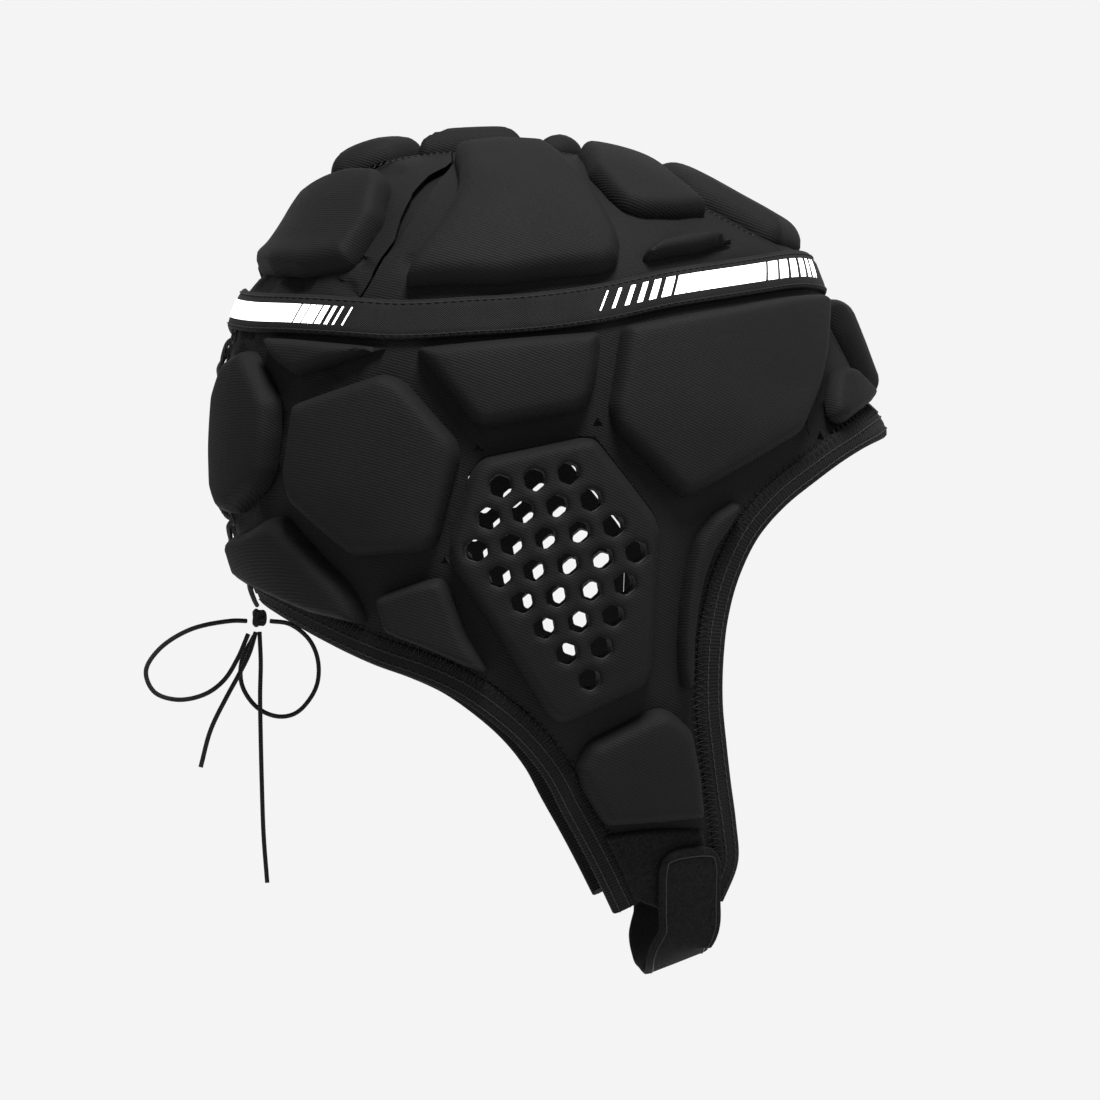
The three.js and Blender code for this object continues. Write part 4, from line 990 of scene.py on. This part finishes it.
band_section = [
    (-6, BAND_LOW), (-6.1, BAND_HIGH - 0.5), (-5.7, BAND_HIGH - 0.12), (-3, BAND_HIGH), (3, BAND_HIGH),
    (5.7, BAND_HIGH - 0.12), (6.1, BAND_HIGH - 0.5), (6, BAND_LOW),
]
band_turns = np.arange(0, 360, 1.5)
count = len(band_section)
across, height = np.array(band_section).T
copies = len(band_turns)
rings = on_band(np.repeat(band_turns, count), np.tile(across, copies), np.tile(height, copies))
faces = ring_faces(len(band_turns) + 1, count) % len(rings)
run = run_along(rings[3::count])
uv = np.stack([np.repeat(run, count), np.tile(across, len(band_turns))], -1)
piece("headband_web", rings, faces, web, "webbing", ["headband"], uv=uv)

seam_turns = np.arange(0, 360.01, 0.33)
wave = 0.16 * np.cos(np.arange(len(seam_turns)) * 2 * np.pi / 5)
seams = [tube(on_band(seam_turns, np.full(len(seam_turns), a), BAND_HIGH - 0.02 + wave), 0.19, sides=5)
         for a in (-4.9, 4.9)]
piece("headband_seams", *merged(seams), thread, "webbing")

# %% The slanted bars, as first and last turn at the band's middle line
FRONT_BARS = [
    (81.7, 81.3), (78.8, 78.0), (75.7, 74.6), (72.7, 71.4), (69.8, 68.1), (66.8, 64.5), (63.6, 60.7),
    (60.4, 57.5), (57.2, 39.0), (38.2, 35.0), (34.1, 31.1), (29.9, 27.2), (25.7, 23.6), (22.0, 20.8),
    (19.2, 18.5), (17.2, 16.9),
]
BACK_BARS = [
    (213.0, 147.0), (146.6, 145.0), (144.7, 143.7), (143.5, 142.3), (141.9, 140.7), (139.9, 139.2),
    (138.2, 137.8), (136.3, 136.0),
]
BAR_HALF = 2.85


def bar(first, last, rise_by, mirror=False):
    steps = max(2, int(abs(first - last) / 1.2) + 1)
    t = np.linspace(first, last, steps)
    rows = np.linspace(-BAR_HALF, BAR_HALF, 6)
    turn, across = (grid.ravel() for grid in np.meshgrid(t, rows, indexing="ij"))
    here = on_band(turn, np.zeros(len(turn)), 0.0)
    step = np.linalg.norm(on_band(turn + 0.5, np.zeros(len(turn)), 0.0) - here, axis=-1) * 2
    slant = 0.45 * np.clip((180 - turn) / 20, -1, 1)
    turn = turn - slant * across / step
    up = on_band(turn, across + rise_by, BAND_HIGH + 0.1)
    low = on_band(turn, across + rise_by, BAND_HIGH - 0.3)
    points, faces = shut(up, low, ring_faces(steps, 6, closed=False))
    return points * [-1 if mirror else 1, 1, 1], faces


bars = [bar(first, last, 0.5, mirror) for first, last in FRONT_BARS for mirror in (False, True)]
bars += [bar(first, last, 0.0) for first, last in BACK_BARS[:1]]
bars += [bar(first, last, 0.0, mirror) for first, last in BACK_BARS[1:] for mirror in (False, True)]
piece("headband_bars", *merged(bars), print_white, "webbing", smooth=30)
print(len(bars), "bars")

# %% [markdown]
# The chin strap is a doubled web. It is sewn to the left flap, passes under the chin and is
# pressed on the right flap's loop panel, where its tab can be set tighter or looser.

# %% The loop panel
LOOP_FOOT = SHELL + 0.8 + 0.3
LOOP_THICK = 1.4
# Columns: turn and rise at the front edge, then at the back edge
loop_rows = np.array([
    (52, -60.4, 79, -63), (49.4, -62.4, 77.2, -63.9), (46.2, -65, 75, -64.9), (43.4, -67, 72.4, -66.1),
    (41, -68.8, 68.4, -67.9),
])
rng = np.random.default_rng(7)
LOOP_ROWS = 44
LOOP_COLUMNS = 46
down_share = np.linspace(0, 1, LOOP_ROWS)
row_at = np.linspace(0, 1, len(loop_rows))
start, start_rise, end, end_rise = (
    np.interp(down_share, row_at, column)[:, None] for column in loop_rows.T)
share = np.linspace(0, 1, LOOP_COLUMNS)
turn = (start + (end - start) * share).ravel()
rise = (start_rise + (end_rise - start_rise) * share).ravel()
sideways = np.tile(share, LOOP_ROWS)
downwards = np.repeat(down_share, LOOP_COLUMNS)
edge = np.minimum(np.minimum(sideways, 1 - sideways) * 30, np.minimum(downwards, 1 - downwards) * 22)
loft = LOOP_FOOT + LOOP_THICK * round_rim(edge, 1.1) * 0.96 + rng.uniform(-0.16, 0.16, len(turn))
up = lifted(turn, rise, loft)
low = lifted(turn, rise, np.full(len(turn), LOOP_FOOT - 0.25))
points, faces = shut(up, low, ring_faces(LOOP_ROWS, LOOP_COLUMNS, closed=False))
piece("loop_panel_pile", points, faces, pile, "pile", ["loop_panel_right"])
print("loop panel", len(faces), "faces")

# %% The chin strap
STRAP_WIDTH = 21.4
STRAP_THICK = 2.0
STRAP_Y = -0.176 * HEAD_LENGTH
OVER_LOOP = LOOP_FOOT + LOOP_THICK + 0.3 + 1.1 + STRAP_THICK / 2 - 0.6
OVER_FLAP = SHELL + 0.8 + 0.3 + 0.55 + STRAP_THICK / 2


def strap_on(side, depth, height):
    z = -depth * HEAD_DEPTH
    foot = crossing(np.array([[0, STRAP_Y, z]]), np.array([[side * HEAD_WIDTH, STRAP_Y, z]]))
    return lifted_at(foot, np.array([height]))[0], form_normal(unit(foot - CENTRE))[0]


lean = math.radians(22)
down_out = np.array([0, -math.sin(lean), -math.cos(lean)])
stations = [strap_on(-1, depth, OVER_LOOP) for depth in (0.838, 0.87, 0.905, 0.935)]
for side, depth in ((-0.3, 0.966), (-0.19, 0.985), (0, 0.987), (0.17, 0.983), (0.268, 0.962)):
    out = down_out + np.array([3 * side, 0, 0])
    stations.append((np.array([side * HEAD_WIDTH, STRAP_Y, -depth * HEAD_DEPTH]), out / np.linalg.norm(out)))
stations += [strap_on(1, depth, OVER_FLAP) for depth in (0.93, 0.9, 0.865)]
station_points = np.array([s[0] for s in stations])
strap_line = through(station_points, spacing=1.2)
station_run = run_along(station_points)
strap_run = np.linspace(0, station_run[-1], len(strap_line))
station_out = np.array([s[1] for s in stations])
strap_out = unit(np.stack([np.interp(strap_run, station_run, station_out[:, k]) for k in range(3)], -1))
strap_along = unit(np.gradient(strap_line, axis=0))
strap_side = unit(np.cross(strap_along, strap_out))
strap_up = np.cross(strap_side, strap_along)
from_tab = np.linspace(0, length_of(strap_line), len(strap_line))
TAB_ROUND = 9.0
half = STRAP_WIDTH / 2 * np.where(from_tab < TAB_ROUND,
                                  0.4 + 0.6 * np.sqrt(1 - (1 - np.clip(from_tab / TAB_ROUND, 0, 1)) ** 2), 1)
profile = [
    (-1, 0), (-0.97, 0.75), (-0.88, 1), (0, 1.06), (0.88, 1), (0.97, 0.75), (1, 0), (0.97, -0.75),
    (0.88, -1), (-0.88, -1), (-0.97, -0.75),
]


def strap_ring(share, rise):
    return strap_line + strap_side * (half * share)[:, None] + strap_up * (rise * STRAP_THICK / 2)


rings = np.stack([strap_ring(share, rise) for share, rise in profile], axis=1).reshape(-1, 3)
count = len(profile)
faces = capped(len(strap_line), count)
uv = np.stack([np.repeat(from_tab, count), np.tile([p[0] * 10 for p in profile], len(strap_line))], -1)
piece("chin_strap_web", rings, faces, brushed, "webbing", ["chin_strap"], uv=uv)

inset = half - 2.1
stitched = slice(3, len(strap_line) - 2)
left_seam = (strap_line - strap_side * inset[:, None] + strap_up * (1.06 * STRAP_THICK / 2))[stitched]
right_seam = (strap_line + strap_side * inset[:, None] + strap_up * (1.06 * STRAP_THICK / 2))[stitched]
border = through(np.concatenate([left_seam[::-1][::2], right_seam[::2]]), spacing=0.5)
piece("chin_strap_seam", *tube(border, 0.2, sides=5), thread, "webbing")
print("strap", round(length_of(strap_line)), "mm")

# %% [markdown]
# At the back, one long lace crosses over an elastic panel and draws the two sides together.
# Each time it turns back, it goes through an eyelet sewn in the side panel's edge.

# %% The back lacing
EYELET_RISES = [19, 9.2, -1.6, -11.8, -21]
EYELET_TURN = 10.6
LACE_HEIGHT = SHELL + 0.3 + 1.0


def lace_run(a, b, over):
    """From one eyelet over to the next: up out of the cloth, across, and down again."""
    share = np.linspace(0, 1, 41)
    turn = a[0] + (b[0] - a[0]) * share
    rise = a[1] + (b[1] - a[1]) * share
    ends = np.clip(np.minimum(share, 1 - share) / 0.14, 0, 1)
    middle = np.exp(-((share - 0.5) / 0.13) ** 2)
    height = 1.6 + (LACE_HEIGHT - 1.6) * np.sin(ends * np.pi / 2) + (0.75 if over else -0.2) * middle
    return tube(lifted(turn, rise, height), LACE_THICK / 2, sides=9)


runs, eyelets = [], []
for strand in (1, -1):
    places = [(180 + strand * (-1) ** i * EYELET_TURN, rise) for i, rise in enumerate(EYELET_RISES)]
    for i, (a, b) in enumerate(zip(places, places[1:])):
        runs.append(lace_run(a, b, over=(i % 2 == 0) == (strand == 1)))
    last_turn, last_rise = places[-1]
    side = np.sign(lifted([last_turn], [last_rise], [0])[0, 0])
    exit_at = lifted([last_turn, 180 - side * 3.4], [last_rise, -26.4], [1.6, LACE_HEIGHT])
    exit_at[1, 0] = side * abs(exit_at[1, 0])
    between = lifted_at(form_point(unit(exit_at.mean(axis=0) - CENTRE)[None]), np.array([LACE_HEIGHT]))
    end = np.array([[side * 1.0, KNOT[1] + 0.4, KNOT[2] + 4.1]])
    to_knot = through(np.concatenate([exit_at[:1], between, exit_at[1:], end]), spacing=0.8)
    runs.append(tube(to_knot, LACE_THICK / 2, sides=9))
    for turn, rise in places:
        angles = np.linspace(0, 2 * np.pi, 24, endpoint=False)
        centre_point = lifted([turn], [rise], [SHELL])[0]
        out = form_normal(unit(centre_point - CENTRE)[None])[0]
        a_side = unit(np.cross([0, 0, 1], out))
        a_up = np.cross(out, a_side)
        ring_points, ring_quads = [], []
        for angle in angles:
            direction = np.cos(angle) * a_side + np.sin(angle) * a_up
            for turn_in in np.linspace(0, 2 * np.pi, 8, endpoint=False):
                ring_points.append(centre_point + direction * (2.1 + 0.55 * np.cos(turn_in))
                                   + out * (0.1 + 0.45 * np.sin(turn_in)))
        ring_quads = (ring_faces(25, 8) % (24 * 8)).tolist()
        eyelets.append((np.array(ring_points), ring_quads))
piece("back_lacing_cord", *merged(runs), cord, "cord", ["back_lacing"])
piece("lace_eyelets", *merged(eyelets), thread, "jersey")
print(len(runs), "lace runs and", len(eyelets), "eyelets")

# %% [markdown]
# The panels are joined edge to edge with a flat seam, so nothing rubs the head: a zigzag of
# thread bridges each joint.


# %% The flat seams
def seam_over(points, height=SHELL + 0.1, reach=1.7, pitch=2.0):
    foot = form_point(unit(np.asarray(points) - CENTRE))
    line = through(foot, spacing=pitch / 2)
    along = unit(np.gradient(line, axis=0))
    out = form_normal(unit(line - CENTRE))
    inward = np.cross(along, out)
    side = np.where(np.arange(len(line)) % 2, 1.0, -1.0)[:, None] * reach
    foot = form_point(unit(line + inward * side - CENTRE))
    return tube(lifted_at(foot, np.full(len(line), height)), 0.17, sides=5)


FRONT_SEAM = [(12, 73.5), (40.5, 61.5), (38.5, 53), (31.5, 42.5)]
STRIP_HALF = 19.2  # where the crown strip meets its neighbours
front_points = lifted(*np.array(FRONT_SEAM, float).T, np.zeros(len(FRONT_SEAM)))
seams = [seam_over(front_points), seam_over(front_points * [-1, 1, 1])]
for x in (-STRIP_HALF, STRIP_HALF):
    ys = np.linspace(-24, 62, 14)
    top_points = np.stack([np.full(14, x), ys, np.zeros(14)], -1)
    foot = crossing(top_points * [1, 1, 0] + [0, 0, -120], top_points + [0, 0, 30])
    seams.append(seam_over(foot))
piece("panel_seams", *merged(seams), thread, "jersey")

# %% [markdown]
# The side panels part in a short slit behind each ear's top, so the crown can stretch. A strip of
# the same cloth closes it from inside.

# %% The slits' backing
SLIT = [(137, 62), (134.2, 55), (132.8, 49), (132.2, 43.5), (132.3, 39), (133.4, 34.5)]
slit_line = through(lifted(*np.array(SLIT, float).T, np.zeros(len(SLIT))), spacing=2.5)
slit_line = form_point(unit(slit_line - CENTRE))
backing = [(-7, -0.9), (-7, -0.25), (0, -0.2), (7, -0.25), (7, -0.9), (0, -0.95)]
points, faces, uv = strip(slit_line, backing, step=2.5)
for side, mirror in SIDES:
    piece(f"slit_backing_{side}", points * [mirror, 1, 1], faces, jersey, "jersey")

# %% [markdown]
# A plain pale floor and soft studio light, with a large key light over the wearer's right brow.

# %% The stage
scene = bpy.context.scene
scene.view_settings.view_transform = "Standard"
world = bpy.data.worlds.new("studio")
world.use_nodes = True
world.node_tree.nodes["Background"].inputs["Color"].default_value = (0.905, 0.905, 0.905, 1)
world.node_tree.nodes["Background"].inputs["Strength"].default_value = 1.0
scene.world = world

floor_material = bpy.data.materials.new("floor")
floor_material.use_nodes = True
floor_shader = floor_material.node_tree.nodes["Principled BSDF"]
floor_shader.inputs["Base Color"].default_value = (0.82, 0.82, 0.82, 1)
floor_shader.inputs["Roughness"].default_value = 0.9
FLOOR_RADIUS = 1.4
FLOOR_LEVEL = -0.45
floor_mesh = bpy.data.meshes.new("floor")
floor_angles = np.linspace(0, 2 * np.pi, 96, endpoint=False)
floor_rim = [(FLOOR_RADIUS * math.cos(a), FLOOR_RADIUS * math.sin(a), FLOOR_LEVEL) for a in floor_angles]
floor_mesh.from_pydata(floor_rim, [], [list(range(len(floor_rim)))])
floor_mesh.materials.append(floor_material)
floor = bpy.data.objects.new("floor", floor_mesh)
scene.collection.objects.link(floor)


def area_light(name, place, size, power):
    data = bpy.data.lights.new(name, "AREA")
    data.size = size
    data.energy = power
    light = bpy.data.objects.new(name, data)
    scene.collection.objects.link(light)
    light.location = place
    light.rotation_euler = (Vector((0, 0, -0.12)) - Vector(place)).to_track_quat("-Z", "Y").to_euler()


area_light("key", (-0.6, -0.1, 1.05), 0.4, 84)
area_light("front", (-0.7, -1.0, 0.35), 0.7, 8)
area_light("back_rim", (-0.35, 1.1, 0.3), 0.6, 1.5)
